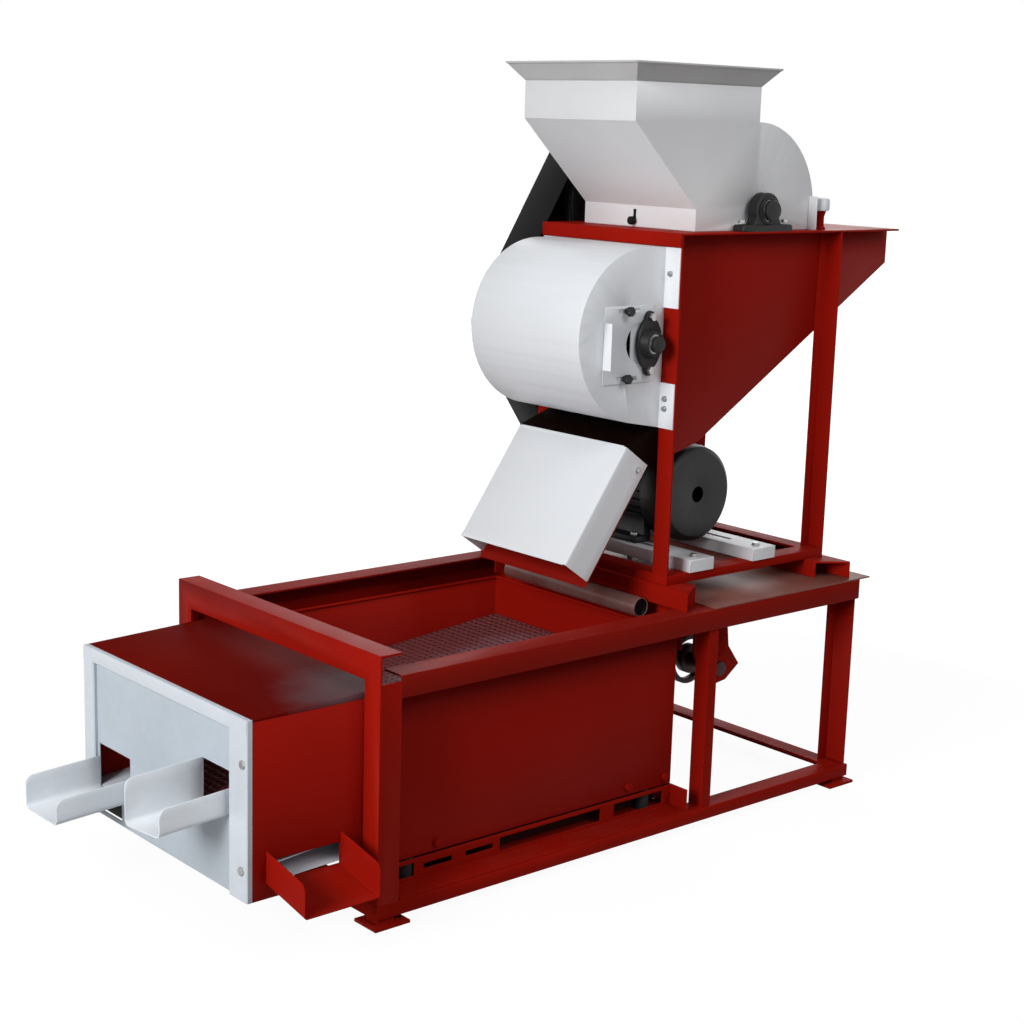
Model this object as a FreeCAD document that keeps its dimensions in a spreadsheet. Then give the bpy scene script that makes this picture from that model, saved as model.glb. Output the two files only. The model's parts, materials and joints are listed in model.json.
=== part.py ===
import FreeCAD, Part
import math
import os
import re
import Sketcher
from FreeCAD import Placement, Rotation, Vector

# Peanut decorticator. Millimetres; X runs along the machine with the spouts at the low end,
# the long side that faces the operator is at low Y, and the floor is at zero height.

SIZES = (
    ("frame_length", 1230, "lower frame, outside"),
    ("frame_width", 640, "lower frame, outside"),
    ("frame_height", 440, "top of the rails above the floor"),
    ("bar_wall", 4, "thickness of angle bar"),
    ("rail_flange", 50, "top rail, flat flange"),
    ("rail_drop", 40, "top rail, upright flange"),
    ("base_top", 40, "top of the base rails above the floor"),
    ("base_flange", 40, "base rail, flat flange"),
    ("base_drop", 25, "base rail, upright flange"),
    ("portal_rise", 40, "portal beam above the rails"),
    ("portal_flange", 44, "portal post, flange that faces the spouts"),
    ("portal_return", 45, "portal post, flange along the side"),
    ("portal_drop", 50, "portal beam, upright flange"),
    ("leg_flange", 50, "end leg, wide flange"),
    ("leg_return", 28, "end leg, narrow flange"),
    ("leg_inset", 9, "end leg, in from the side of the frame"),
    ("post_position", 790, "middle post along the frame"),
    ("post_flange", 35, "middle post, wide flange"),
    ("post_return", 25, "middle post, narrow flange"),
    ("foot_sheet", 6, "foot plate"),
    ("foot_length", 74, "foot plate along the frame"),
    ("foot_width", 62, "foot plate across the frame"),
    ("foot_overhang", 10, "foot plate past the rail"),
    ("foot_hole", 6, "foot plate, radius of the anchor hole"),
    ("deck_overhang", 32, "deck plate past the end legs"),
    ("deck_sheet", 3, "deck plate"),
    ("deck_slot_length", 190, "belt slot in the deck, along"),
    ("deck_slot_width", 40, "belt slot in the deck, across"),
    ("cross_start", 735, "first tower cross member along the frame"),
    ("cross_width", 64, "tower cross member along the frame"),
    ("cross_height", 37, "tower cross member"),
    ("cross_reach", 304, "tower cross member from the middle of the frame"),
    ("cross_bevel", 43, "bevelled front end of the cross members"),
    ("tower_start", 745, "tower along the frame"),
    ("tower_length", 460, "tower, outside"),
    ("tower_front", 237, "tower front from the middle of the frame"),
    ("tower_back", 151, "tower back from the middle of the frame"),
    ("tower_top", 1150, "top face of the tower plate"),
    ("sill_flange", 40, "tower base bar, flat flange"),
    ("sill_drop", 18, "tower base bar, upright flange"),
    ("upright_flange", 40, "upright, wide flange"),
    ("upright_return", 25, "upright, narrow flange"),
    ("plate_sheet", 4, "tower top plate"),
    ("plate_band", 26, "folded band of the top plate"),
    ("plate_length", 640, "tower top plate along the machine"),
    ("core_sheet", 2, "duct, housing, chute and hopper sheet"),
    ("duct_length", 652, "duct from the tower front face to the hull outlet"),
    ("outlet_drop", 68, "height of the hull outlet"),
    ("floor_toe", 40, "flat toe of the duct floor, along"),
    ("floor_knee", 111, "duct floor knee from the tower front face"),
    ("knee_height", 744, "duct floor knee above the floor"),
    ("toe_height", 724, "duct floor toe above the floor"),
    ("chute_lip_height", 716, "duct low edge above the floor"),
    ("scroll_centre", 51, "scroll centre before the tower front face"),
    ("scroll_height", 958, "scroll centre above the floor"),
    ("scroll_radius", 165, "scroll housing"),
    ("housing_low", 781, "lower edge of the housing at the tower"),
    ("strip_width", 38, "housing fixing strips"),
    ("strip_gap_low", 868, "lower edge of the break in the fixing strip"),
    ("strip_gap_high", 1010, "upper edge of the break in the fixing strip"),
    ("fan_centre", 44, "fan axis before the tower front face"),
    ("fan_height", 945, "fan axis above the floor"),
    ("fan_radius", 130, "fan blade tips"),
    ("fan_hub", 26, "fan hub radius"),
    ("fan_side_gap", 14, "fan to the housing walls"),
    ("blade_sheet", 3, "fan blades"),
    ("fan_bore", 12.5, "fan shaft radius"),
    ("inlet_start", 610, "air inlet window left edge"),
    ("inlet_width", 50, "air inlet window along"),
    ("inlet_height", 96, "air inlet window"),
    ("shutter_start", 590, "shutter plate left edge"),
    ("shutter_length", 125, "shutter plate along"),
    ("shutter_low", 871, "shutter plate lower edge"),
    ("shutter_height", 146, "shutter plate"),
    ("shutter_sheet", 1.5, "shutter plate"),
    ("shutter_open", 30, "shutter travel towards open"),
    ("shutter_close", 15, "shutter travel towards closed"),
    ("handle_depth", 22, "shutter handle tab"),
    ("handle_height", 88, "shutter handle tab"),
    ("stud_radius", 3, "knob stud"),
    ("knob_radius", 9, "clamp knob"),
    ("knob_length", 16, "clamp knob"),
    ("knob_position", 645, "knob studs along the machine"),
    ("knob_inset", 10, "knob slot from the shutter edge"),
    ("slide_gap", 0.5, "clearance of sliding sheets"),
    ("flange_bearing_size", 76, "flange bearing, outside"),
    ("flange_bearing_depth", 34, "flange bearing"),
    ("chute_face_x", 720, "cover, upper rear corner along"),
    ("chute_face_z", 709, "cover, upper rear corner height"),
    ("cover_length", 255, "chute cover down the slope"),
    ("cover_depth", 73, "chute cover across the slope"),
    ("chute_slope", 55, "chute slope in degrees"),
    ("cover_tail", 12, "red chute past the cover"),
    ("nose_radius", 19, "rolled lip"),
    ("nose_height", 431, "rolled lip centre above the floor"),
    ("nose_centre", 716, "rolled lip centre along"),
    ("motor_x", 928, "motor axis along"),
    ("motor_radius", 100, "fan cowl radius"),
    ("motor_half", 135, "half length of the motor"),
    ("cowl_length", 62, "fan cowl"),
    ("motor_frame", 92, "motor frame radius over the fins"),
    ("motor_shaft", 14, "motor shaft radius"),
    ("motor_foot_span", 180, "motor feet, centre to centre"),
    ("motor_foot_width", 36, "motor foot"),
    ("motor_foot_sheet", 12, "motor foot thickness"),
    ("rail_height", 25, "motor slide rail"),
    ("rail_width", 66, "motor slide rail"),
    ("rail_slot", 11, "slot in the motor rail"),
    ("hopper_start", 649, "hopper neck along"),
    ("hopper_length", 335, "hopper neck"),
    ("hopper_top", 1458, "hopper rim above the floor"),
    ("hopper_flare", 29, "rim beyond the neck"),
    ("flare_drop", 35, "height of the flared rim"),
    ("neck_low", 1352, "foot of the hopper neck"),
    ("throat_x", 818, "hopper throat along"),
    ("throat_height", 1192, "foot of the hopper slope"),
    ("gate_place", -32, "feed gate stud across"),
    ("gate_travel", 18, "feed gate travel"),
    ("drum_x", 987, "drum axis along"),
    ("drum_height", 1190, "drum axis above the floor"),
    ("cover_radius", 167, "drum cover radius"),
    ("drum_radius", 138, "drum, over the bars"),
    ("drum_bars", 6, "beater bars"),
    ("bar_depth", 20, "beater bar, radial"),
    ("bar_thickness", 10, "beater bar, around"),
    ("disc_sheet", 6, "drum discs"),
    ("drum_side_gap", 12, "drum to the side walls"),
    ("drum_shaft", 17.5, "drum shaft radius"),
    ("grate_gap", 14, "drum bars to the concave rods"),
    ("grate_rod", 4, "concave rod radius"),
    ("grate_pitch", 6.5, "concave rods apart, degrees"),
    ("grate_rods", 21, "concave rods"),
    ("block_length", 168, "pillow block base"),
    ("block_width", 40, "pillow block base across"),
    ("block_base", 16, "pillow block base height"),
    ("block_dome", 36, "pillow block dome radius"),
    ("shaft_fit", 0.05, "running fit on the shafts"),
    ("drum_pulley", 160, "drum pulley radius"),
    ("motor_pulley", 45, "motor pulley radius"),
    ("fan_pulley", 44, "fan pulley radius"),
    ("shaker_pulley", 90, "shaker pulley radius"),
    ("pulley_width", 22, "one belt groove"),
    ("groove_depth", 11, "belt groove"),
    ("belt_top", 11, "belt width"),
    ("belt_depth", 8, "belt thickness"),
    ("belt_rise", 1, "belt above the pulley rim"),
    ("drive_start", 160, "first belt plane from the middle"),
    ("drive_pitch", 26, "belt planes apart"),
    ("guard_clearance", 12, "guard beyond the pulleys"),
    ("guard_sheet", 2, "belt guard"),
    ("guard_start", 151, "belt guard rim from the middle"),
    ("guard_depth", 92, "belt guard"),
    ("shaker_x", 905, "shaker shaft along"),
    ("shaker_height", 285, "shaker shaft above the floor"),
    ("shaker_radius", 15, "shaker shaft radius"),
    ("throw", 5, "eccentric throw"),
    ("eccentric_radius", 30, "eccentric disc"),
    ("cheek_place", 224, "shaker cheek plates from the middle"),
    ("cheek_sheet", 6, "shaker cheek plates"),
    ("rod_place", 150, "connecting rods from the middle"),
    ("rod_sheet", 14, "connecting rod"),
    ("rod_height", 30, "connecting rod"),
    ("sieve_start", -219, "sieve box, spout end"),
    ("sieve_end", 747, "sieve box, drive end"),
    ("sieve_half", 271, "sieve box, half width"),
    ("sieve_low", 88, "sieve box lower edge"),
    ("sieve_top", 395, "sieve box upper edge"),
    ("sieve_sheet", 3, "sieve box sheet"),
    ("sieve_lip", 30, "folded lower lip of the sieve box"),
    ("cover_end", 48, "sieve cover end along"),
    ("cover_rise", 10, "sieve cover slope"),
    ("deck_drop", 90, "fall of each sieve deck"),
    ("tray_height", 312, "upper tray at the drive end"),
    ("screen_height", 232, "kernel screen at the drive end"),
    ("pan_height", 150, "bottom pan at the drive end"),
    ("strip_rear", 36, "end plate rear strip"),
    ("strip_front", 56, "end plate front strip"),
    ("strip_top", 26, "end plate top strip"),
    ("strip_proud", 6, "end plate strips stand proud"),
    ("spout_sheet", 2, "spout sheet"),
    ("spout_length", 145, "spouts past the end plate"),
    ("low_spout_y", 118, "low spout near wall"),
    ("low_spout_width", 115, "low spout"),
    ("low_spout_floor", 139, "low spout floor at the plate"),
    ("high_spout_y", -209, "high spout near wall"),
    ("high_spout_width", 88, "high spout"),
    ("high_spout_floor", 218, "high spout floor at the plate"),
    ("spout_fall", 9, "fall of the spouts"),
    ("spout_wall", 48, "spout side walls"),
    ("high_far_wall", 80, "far wall of the high spout"),
    ("chute_start", -190, "side chute along"),
    ("chute_width", 150, "side chute"),
    ("chute_reach", 112, "side chute past the sieve wall"),
    ("chute_floor", 112, "side chute floor at the wall"),
    ("chute_fall", 22, "fall of the side chute"),
    ("chute_wall", 60, "side chute walls"),
    ("window_height", 38, "side chute window"),
    ("sill_top", 84, "fixed sill upper edge"),
    ("sill_shelf", 86, "fixed sill shelf"),
    ("sill_start", 50, "fixed sill along"),
    ("sill_length", 697, "fixed sill"),
    ("mount_radius", 13, "rubber mounts"),
    ("mount_gap", 0.3, "rubber mounts to the sieve box"),
    ("bolt_head", 8.5, "bolt head radius"),
    ("head_height", 6, "bolt head"),
)

ALIASES = {alias for alias, _, _ in SIZES}
WORD = re.compile(r"[a-z][a-z_]*")

document = FreeCAD.newDocument("PeanutDecorticator")
sheet = document.addObject("Spreadsheet::Sheet", "Sizes")
for row, (alias, size, meaning) in enumerate(SIZES, start=1):
    sheet.set(f"A{row}", meaning)
    sheet.set(f"B{row}", str(size))
    sheet.setAlias(f"B{row}", alias)
document.recompute()

# Places that several pieces share
HALF = "(frame_width/2)"
CORE_FRONT = "(upright_flange-tower_front)"
CORE_BACK = "(tower_back-upright_flange)"
CORE_WIDTH = "(tower_front+tower_back-2*upright_flange)"
TOWER_BASE = "(frame_height+cross_height+sill_drop)"
TOWER_END = "(tower_start+tower_length)"
CROSS_END = "(tower_start+tower_length-cross_width+10)"
FAN_X = "(tower_start-fan_centre)"
SCROLL_X = "(tower_start-scroll_centre)"
MOTOR_HEIGHT = "(frame_height+cross_height+sill_drop+rail_height+motor_radius)"
DUCT_END = "(tower_start+duct_length)"
PLATE_LOW = "(tower_top-plate_sheet)"
GRATE_RADIUS = "(drum_radius+grate_gap+grate_rod)"
SPOUT_TIP = "(sieve_start-spout_length)"
KNOB_HEIGHTS = ("(shutter_low+knob_inset)", "(shutter_low+shutter_height-knob_inset)")
ORIGIN_X = "((sieve_start-spout_length+tower_start+duct_length)/2)"
ORIGIN_Y = "((frame_width/2+foot_overhang-sieve_half-chute_reach)/2)"

SUBPARTS = []
POCKETS = []


def formula(text):
    """Writes a formula in the names of the sheet."""
    return WORD.sub(lambda found: f"Sizes.{found[0]}" if found[0] in ALIASES else found[0], str(text))


def number(text):
    """Value of a formula."""
    return float(sheet.evalExpression(formula(text)))


def bind(item, place, text):
    item.setExpression(place, formula(text))


def locate(item, corner):
    for axis, text in zip("xyz", corner):
        bind(item, f".Placement.Base.{axis}", text)


def subpart(item, label, at=("0", "0", "0")):
    """Registers a finished piece; its own origin goes to the given place of the machine."""
    item.Label = label
    x_text, y_text, z_text = at
    locate(item, (f"{x_text}-{ORIGIN_X}", f"{y_text}-{ORIGIN_Y}", z_text))
    SUBPARTS.append(item)
    return item


def box(name, corner, size):
    item = document.addObject("Part::Box", name)
    for side, text in zip(("Length", "Width", "Height"), size):
        bind(item, side, text)
    locate(item, corner)
    return item


AXIS_TURN = {
    "x": Rotation(Vector(0, 1, 0), 90),
    "y": Rotation(Vector(1, 0, 0), -90),
    "z": Rotation(),
}


def rod(name, axis, start, radius, length):
    """Cylinder that runs from start along a positive axis."""
    item = document.addObject("Part::Cylinder", name)
    item.Placement = Placement(Vector(), AXIS_TURN[axis])
    bind(item, "Radius", radius)
    bind(item, "Height", length)
    locate(item, start)
    return item


def cut(name, base, *tools):
    item = document.addObject("Part::Cut", name)
    item.Base = base
    item.Tool = tools[0] if len(tools) == 1 else join(f"{name}_tools", *tools)
    return item


def join(name, *pieces):
    item = document.addObject("Part::MultiFuse", name)
    item.Shapes = list(pieces)
    return item


def group(name, *pieces):
    item = document.addObject("Part::Compound", name)
    item.Links = list(pieces)
    return item


def common(name, base, tool):
    item = document.addObject("Part::Common", name)
    item.Base = base
    item.Tool = tool
    return item


def hexagon(name, axis, start, radius, length):
    item = document.addObject("Part::Prism", name)
    item.Polygon = 6
    item.Placement = Placement(Vector(), AXIS_TURN[axis])
    bind(item, "Circumradius", radius)
    bind(item, "Height", length)
    locate(item, start)
    return item


class Arc:
    """Arc of an outline; angles in degrees, clockwise where the second is the smaller."""

    def __init__(self, centre, radius, first, last):
        self.centre = centre
        self.radius = radius
        self.first = number(first)
        self.last = number(last)

    def point(self, degrees):
        reach = number(self.radius)
        turn = math.radians(degrees)
        x_centre, y_centre = (number(text) for text in self.centre)
        return Vector(x_centre + reach * math.cos(turn), y_centre + reach * math.sin(turn), 0)


class Circle:
    """Round hole of an outline."""

    def __init__(self, centre, radius):
        self.centre = centre
        self.radius = radius


def fix(sketch, kind, geometry, position, text):
    """Distance from the sketch origin to a point, bound to a formula."""
    rule = sketch.addConstraint(Sketcher.Constraint(kind, -1, 1, geometry, position, number(text)))
    bind(sketch, f"Constraints[{rule}]", text)


def fix_point(sketch, geometry, position, point):
    fix(sketch, "DistanceX", geometry, position, point[0])
    fix(sketch, "DistanceY", geometry, position, point[1])


def fix_radius(sketch, geometry, text):
    rule = sketch.addConstraint(Sketcher.Constraint("Radius", geometry, number(text)))
    bind(sketch, f"Constraints[{rule}]", text)


def draw_arc(sketch, arc):
    low, high = sorted((arc.first, arc.last))
    centre = Vector(number(arc.centre[0]), number(arc.centre[1]), 0)
    ring = Part.Circle(centre, Vector(0, 0, 1), number(arc.radius))
    geometry = sketch.addGeometry(Part.ArcOfCircle(ring, math.radians(low), math.radians(high)))
    fix_point(sketch, geometry, 3, arc.centre)
    fix_radius(sketch, geometry, arc.radius)
    for position, degrees in ((1, low), (2, high)):
        wave = f"cos({degrees} deg)" if abs(math.sin(math.radians(degrees))) > 0.7 else f"sin({degrees} deg)"
        side = 0 if wave.startswith("cos") else 1
        text = f"{arc.centre[side]}+({arc.radius})*{wave}"
        fix(sketch, "DistanceX" if side == 0 else "DistanceY", geometry, position, text)
    ends = (1, 2) if arc.last > arc.first else (2, 1)
    return geometry, ends


def draw_outline(sketch, outline):
    """Closed outline from corner points, arcs or one circle."""
    if isinstance(outline, Circle):
        centre = Vector(number(outline.centre[0]), number(outline.centre[1]), 0)
        ring = Part.Circle(centre, Vector(0, 0, 1), number(outline.radius))
        geometry = sketch.addGeometry(ring)
        fix_point(sketch, geometry, 3, outline.centre)
        fix_radius(sketch, geometry, outline.radius)
        return
    starts, ends, links = [], [], []
    for piece in outline:
        if isinstance(piece, Arc):
            geometry, (first, last) = draw_arc(sketch, piece)
            starts.append(piece.point(piece.first))
            ends.append(piece.point(piece.last))
            links.append((geometry, first, last))
        else:
            place = Vector(number(piece[0]), number(piece[1]), 0)
            starts.append(place)
            ends.append(place)
            links.append(None)
    count = len(outline)
    lines = []
    for index in range(count):
        lines.append(sketch.addGeometry(Part.LineSegment(ends[index], starts[(index + 1) % count])))
    for index, piece in enumerate(outline):
        before, after = lines[index - 1], lines[index]
        if links[index] is None:
            sketch.addConstraint(Sketcher.Constraint("Coincident", before, 2, after, 1))
            fix_point(sketch, after, 1, piece)
        else:
            geometry, first, last = links[index]
            sketch.addConstraint(Sketcher.Constraint("Coincident", before, 2, geometry, first))
            sketch.addConstraint(Sketcher.Constraint("Coincident", geometry, last, after, 1))


def new_body(name):
    return document.addObject("PartDesign::Body", name)


def origin_feature(body, role):
    return next(item for item in body.Origin.OriginFeatures if item.Role == role)


def new_sketch(body, plane, outlines, start):
    name = f"{body.Name}_sketch{len(body.Group)}"
    sketch = body.newObject("Sketcher::SketchObject", name)
    sketch.AttachmentSupport = (origin_feature(body, f"{plane}_Plane"), [""])
    sketch.MapMode = "FlatFace"
    offset = f"-({start})" if plane == "XZ" else start
    bind(sketch, ".AttachmentOffset.Base.z", offset)
    for outline in outlines:
        draw_outline(sketch, outline)
    return sketch


def pad(body, plane, outlines, start, depth):
    """Adds material from start along the positive normal axis."""
    sketch = new_sketch(body, plane, outlines, start)
    feature = body.newObject("PartDesign::Pad", f"{body.Name}_pad{len(body.Group)}")
    feature.Profile = sketch
    bind(feature, "Length", depth)
    feature.Reversed = plane == "XZ"
    return feature


def pocket(body, plane, outlines, start, depth):
    """Takes material away from start along the positive normal axis."""
    sketch = new_sketch(body, plane, outlines, start)
    feature = body.newObject("PartDesign::Pocket", f"{body.Name}_pocket{len(body.Group)}")
    feature.Profile = sketch
    bind(feature, "Length", depth)
    feature.Reversed = plane != "XZ"
    POCKETS.append(feature)
    return feature


def prism(name, plane, outlines, start, depth):
    """Body padded from one sketch; the first outline is the outer one, the rest are holes."""
    body = new_body(name)
    pad(body, plane, outlines, start, depth)
    return body


def turned(name, outline):
    """Body turned about its own Y axis; the outline holds radius and place along the axis."""
    body = new_body(name)
    sketch = new_sketch(body, "XY", [outline], "0")
    feature = body.newObject("PartDesign::Revolution", f"{name}_turn")
    feature.Profile = sketch
    feature.ReferenceAxis = (origin_feature(body, "Y_Axis"), [""])
    feature.Angle = 360
    return body


def rectangle(left, low, width, height):
    return [(left, low), (f"{left}+{width}", low), (f"{left}+{width}", f"{low}+{height}"), (left, f"{low}+{height}")]


def angle_section(corner, toward, flanges, wall="bar_wall"):
    """Angle bar section: outer corner, the sides to which its flanges point, and their widths."""
    (u, v), (du, dv), (fu, fv) = corner, toward, flanges
    tip_u, tip_v = f"{u}+{du}*{fu}", f"{v}+{dv}*{fv}"
    in_u, in_v = f"{u}+{du}*{wall}", f"{v}+{dv}*{wall}"
    return [(u, v), (tip_u, v), (tip_u, in_v), (in_u, in_v), (in_u, tip_v), (u, tip_v)]


# Lower frame

SIDES = (("front", 1), ("rear", -1))


def make_top_rails():
    rails = []
    for side, inward in SIDES:
        section = angle_section((f"-{inward}*{HALF}", "frame_height"), (inward, -1), ("rail_flange", "rail_drop"))
        rails.append(prism(f"top_rail_{side}", "YZ", [section], "portal_return", "frame_length-portal_return"))
    subpart(group("top_rails_group", *rails), "top_rails")


def make_base_frame():
    bars = []
    for side, inward in SIDES:
        section = angle_section((f"-{inward}*{HALF}", "base_top"), (inward, -1), ("base_flange", "base_drop"))
        bars.append(prism(f"base_rail_{side}", "YZ", [section], "0", "frame_length"))
    for end, place, inward in (("left", "0", 1), ("right", "frame_length", -1)):
        section = angle_section((place, "base_top"), (inward, -1), ("base_flange", "base_drop"))
        bars.append(prism(f"base_cross_{end}", "XZ", [section], f"-{HALF}", "frame_width"))
    subpart(join("base_frame_ring", *bars), "base_frame")


def make_feet():
    plates = []
    for side, inward in SIDES:
        for end, toward in (("left", 1), ("right", -1)):
            x_text = "-foot_overhang" if toward > 0 else "frame_length+foot_overhang-foot_length"
            y_text = f"-{HALF}-foot_overhang" if inward > 0 else f"{HALF}+foot_overhang-foot_width"
            name = f"foot_{end}_{side}"
            plate = box(f"{name}_plate", (x_text, y_text, "0"), ("foot_length", "foot_width", "foot_sheet"))
            block_x = "bar_wall+1" if toward > 0 else "frame_length-base_flange"
            block_y = f"-{HALF}+bar_wall+1" if inward > 0 else f"{HALF}-base_flange"
            block = box(f"{name}_block", (block_x, block_y, "foot_sheet"),
                        ("base_flange-bar_wall-1", "base_flange-bar_wall-1", "base_top-bar_wall-foot_sheet"))
            hole_x = "foot_length-foot_overhang*2" if toward > 0 else "frame_length+foot_overhang*2-foot_length"
            hole_y = f"-{inward}*({HALF}-foot_hole*2)"
            hole = rod(f"{name}_hole", "z", (hole_x, hole_y, "-1"), "foot_hole", "foot_sheet+2")
            plates.append(join(f"{name}_body", cut(f"{name}_cut", plate, hole), block))
    subpart(group("foot_plates_group", *plates), "foot_plates")


def make_portal():
    pieces = []
    post_height = "frame_height+portal_rise-portal_drop-base_top"
    for side, inward in SIDES:
        section = angle_section(("0", f"-{inward}*{HALF}"), (1, inward), ("portal_return", "portal_flange"))
        pieces.append(prism(f"portal_post_{side}", "XY", [section], "base_top", post_height))
    beam_top = "frame_height+portal_rise"
    section = angle_section(("0", beam_top), (1, -1), ("portal_return", "portal_drop"))
    pieces.append(prism("portal_beam", "XZ", [section], f"-{HALF}", "frame_width"))
    subpart(join("portal_frame", *pieces), "portal_frame")


def make_end_legs():
    legs = []
    for side, inward in SIDES:
        inner = f"-{inward}*({HALF}-leg_inset-leg_flange)"
        section = angle_section(("frame_length", inner), (-1, -inward), ("leg_return", "leg_flange"))
        legs.append(prism(f"end_leg_{side}", "XY", [section], "base_top", "frame_height-bar_wall-base_top"))
    subpart(group("end_legs_group", *legs), "end_legs")


def make_middle_posts():
    posts = []
    for side, inward in SIDES:
        outer = f"-{inward}*({HALF}-bar_wall)"
        section = angle_section(("post_position", outer), (1, inward), ("post_return", "post_flange"))
        posts.append(prism(f"middle_post_{side}", "XY", [section], "base_top", "frame_height-bar_wall-base_top"))
    subpart(group("middle_posts_group", *posts), "middle_posts")


def make_deck():
    start = "(cross_start+cross_width)"
    plate = rectangle(start, f"-{HALF}", f"frame_length+deck_overhang-{start}", "frame_width")
    slot = rectangle("shaker_x-deck_slot_length/2", "drive_start+2*drive_pitch-deck_slot_width/2+pulley_width/2",
                     "deck_slot_length", "deck_slot_width")
    body = prism("deck_plate_body", "XY", [plate, slot], "frame_height", "deck_sheet")
    subpart(body, "deck_plate")


def make_cross_members():
    members = []
    for name, start, low, bevel_side in (("left", "cross_start", "frame_height", 1),
                                         ("right", CROSS_END, "frame_height+deck_sheet", -1)):
        top = "frame_height+cross_height"
        end = f"{start}+cross_width"
        section = [(start, low), (start, top), (end, top), (end, low), (f"{end}-bar_wall", low),
                   (f"{end}-bar_wall", f"{top}-bar_wall"), (f"{start}+bar_wall", f"{top}-bar_wall"),
                   (f"{start}+bar_wall", low)]
        body = prism(f"cross_member_{name}", "XZ", [section], "-cross_reach", f"cross_reach+{HALF}-rail_flange/5")
        inner_x = end if bevel_side > 0 else start
        outer_x = start if bevel_side > 0 else end
        bevel = [(outer_x, "-cross_reach-1"), (inner_x, "-cross_reach-1"), (inner_x, "cross_bevel-cross_reach")]
        pocket(body, "XY", [bevel], "frame_height-1", "cross_height+2")
        members.append(body)
    subpart(group("tower_cross_group", *members), "tower_cross_members")


# Tower

def make_tower_base():
    bars = []
    top = TOWER_BASE
    for side, place, inward in (("front", "-tower_front", 1), ("back", "tower_back", -1)):
        section = angle_section((place, top), (inward, -1), ("sill_flange", "sill_drop"))
        bars.append(prism(f"tower_sill_{side}", "YZ", [section], "tower_start", "tower_length"))
    for side, place, inward in (("left", "tower_start", 1), ("right", TOWER_END, -1)):
        section = angle_section((place, top), (inward, -1), ("sill_flange", "sill_drop"))
        bars.append(prism(f"tower_sill_{side}", "XZ", [section], "-tower_front", "tower_front+tower_back"))
    subpart(join("tower_base_ring", *bars), "tower_base_frame")


def make_uprights():
    for side, inner, outward in (("front", CORE_FRONT, -1), ("rear", CORE_BACK, 1)):
        pair = []
        for end, place, toward in (("left", "tower_start", 1), ("right", TOWER_END, -1)):
            section = angle_section((place, inner), (toward, outward), ("upright_return", "upright_flange"))
            pair.append(prism(f"upright_{side}_{end}", "XY", [section], TOWER_BASE, f"{PLATE_LOW}-{TOWER_BASE}"))
        subpart(group(f"uprights_{side}_group", *pair), f"uprights_{side}")


def make_top_plate():
    start = "(tower_start-plate_sheet)"
    width = "tower_front+tower_back"
    plate = rectangle(start, "-tower_front", "plate_length+plate_sheet", width)
    opening = rectangle("drum_x-cover_radius+core_sheet", f"{CORE_FRONT}+core_sheet",
                        "2*cover_radius-2*core_sheet", f"{CORE_WIDTH}-2*core_sheet")
    body = prism("top_plate_body", "XY", [plate, opening], PLATE_LOW, "plate_sheet")
    band = box("top_plate_band", (start, "-tower_front", "tower_top-plate_band"),
               ("plate_sheet", width, "plate_band-plate_sheet"))
    subpart(join("top_plate_folded", body, band), "top_plate")


# Separation duct

def duct_outline(grow):
    """Side outline of the duct; grow moves the floor inward by the sheet."""
    return [
        (f"tower_start-{grow}", f"chute_lip_height+{grow}"),
        ("tower_start+floor_toe", f"toe_height+{grow}"),
        ("tower_start+floor_knee", f"knee_height+{grow}"),
        (DUCT_END if grow == "0" else f"{DUCT_END}+1", f"{PLATE_LOW}-outlet_drop+{grow}"),
        (DUCT_END if grow == "0" else f"{DUCT_END}+1", f"{PLATE_LOW}-{grow}*0"),
        (f"tower_start-{grow}", f"{PLATE_LOW}-{grow}*0"),
    ]


def make_duct():
    body = prism("duct_body", "XZ", [duct_outline("0")], CORE_FRONT, CORE_WIDTH)
    inner = [
        ("tower_start-1", "chute_lip_height+core_sheet"),
        ("tower_start+floor_toe", "toe_height+core_sheet"),
        ("tower_start+floor_knee", "knee_height+core_sheet*1.2"),
        (f"{DUCT_END}+1", f"{PLATE_LOW}-outlet_drop+core_sheet*1.2"),
        (f"{DUCT_END}+1", f"{PLATE_LOW}-core_sheet"),
        ("tower_start-1", f"{PLATE_LOW}-core_sheet"),
    ]
    pocket(body, "XZ", [inner], f"{CORE_FRONT}+core_sheet", f"{CORE_WIDTH}-2*core_sheet")
    opening = rectangle("drum_x-cover_radius+core_sheet", f"{CORE_FRONT}+core_sheet",
                        "2*cover_radius-2*core_sheet", f"{CORE_WIDTH}-2*core_sheet")
    pocket(body, "XY", [opening], f"{PLATE_LOW}-core_sheet-1", "core_sheet+2")
    subpart(body, "separation_duct")


# Blower

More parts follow.
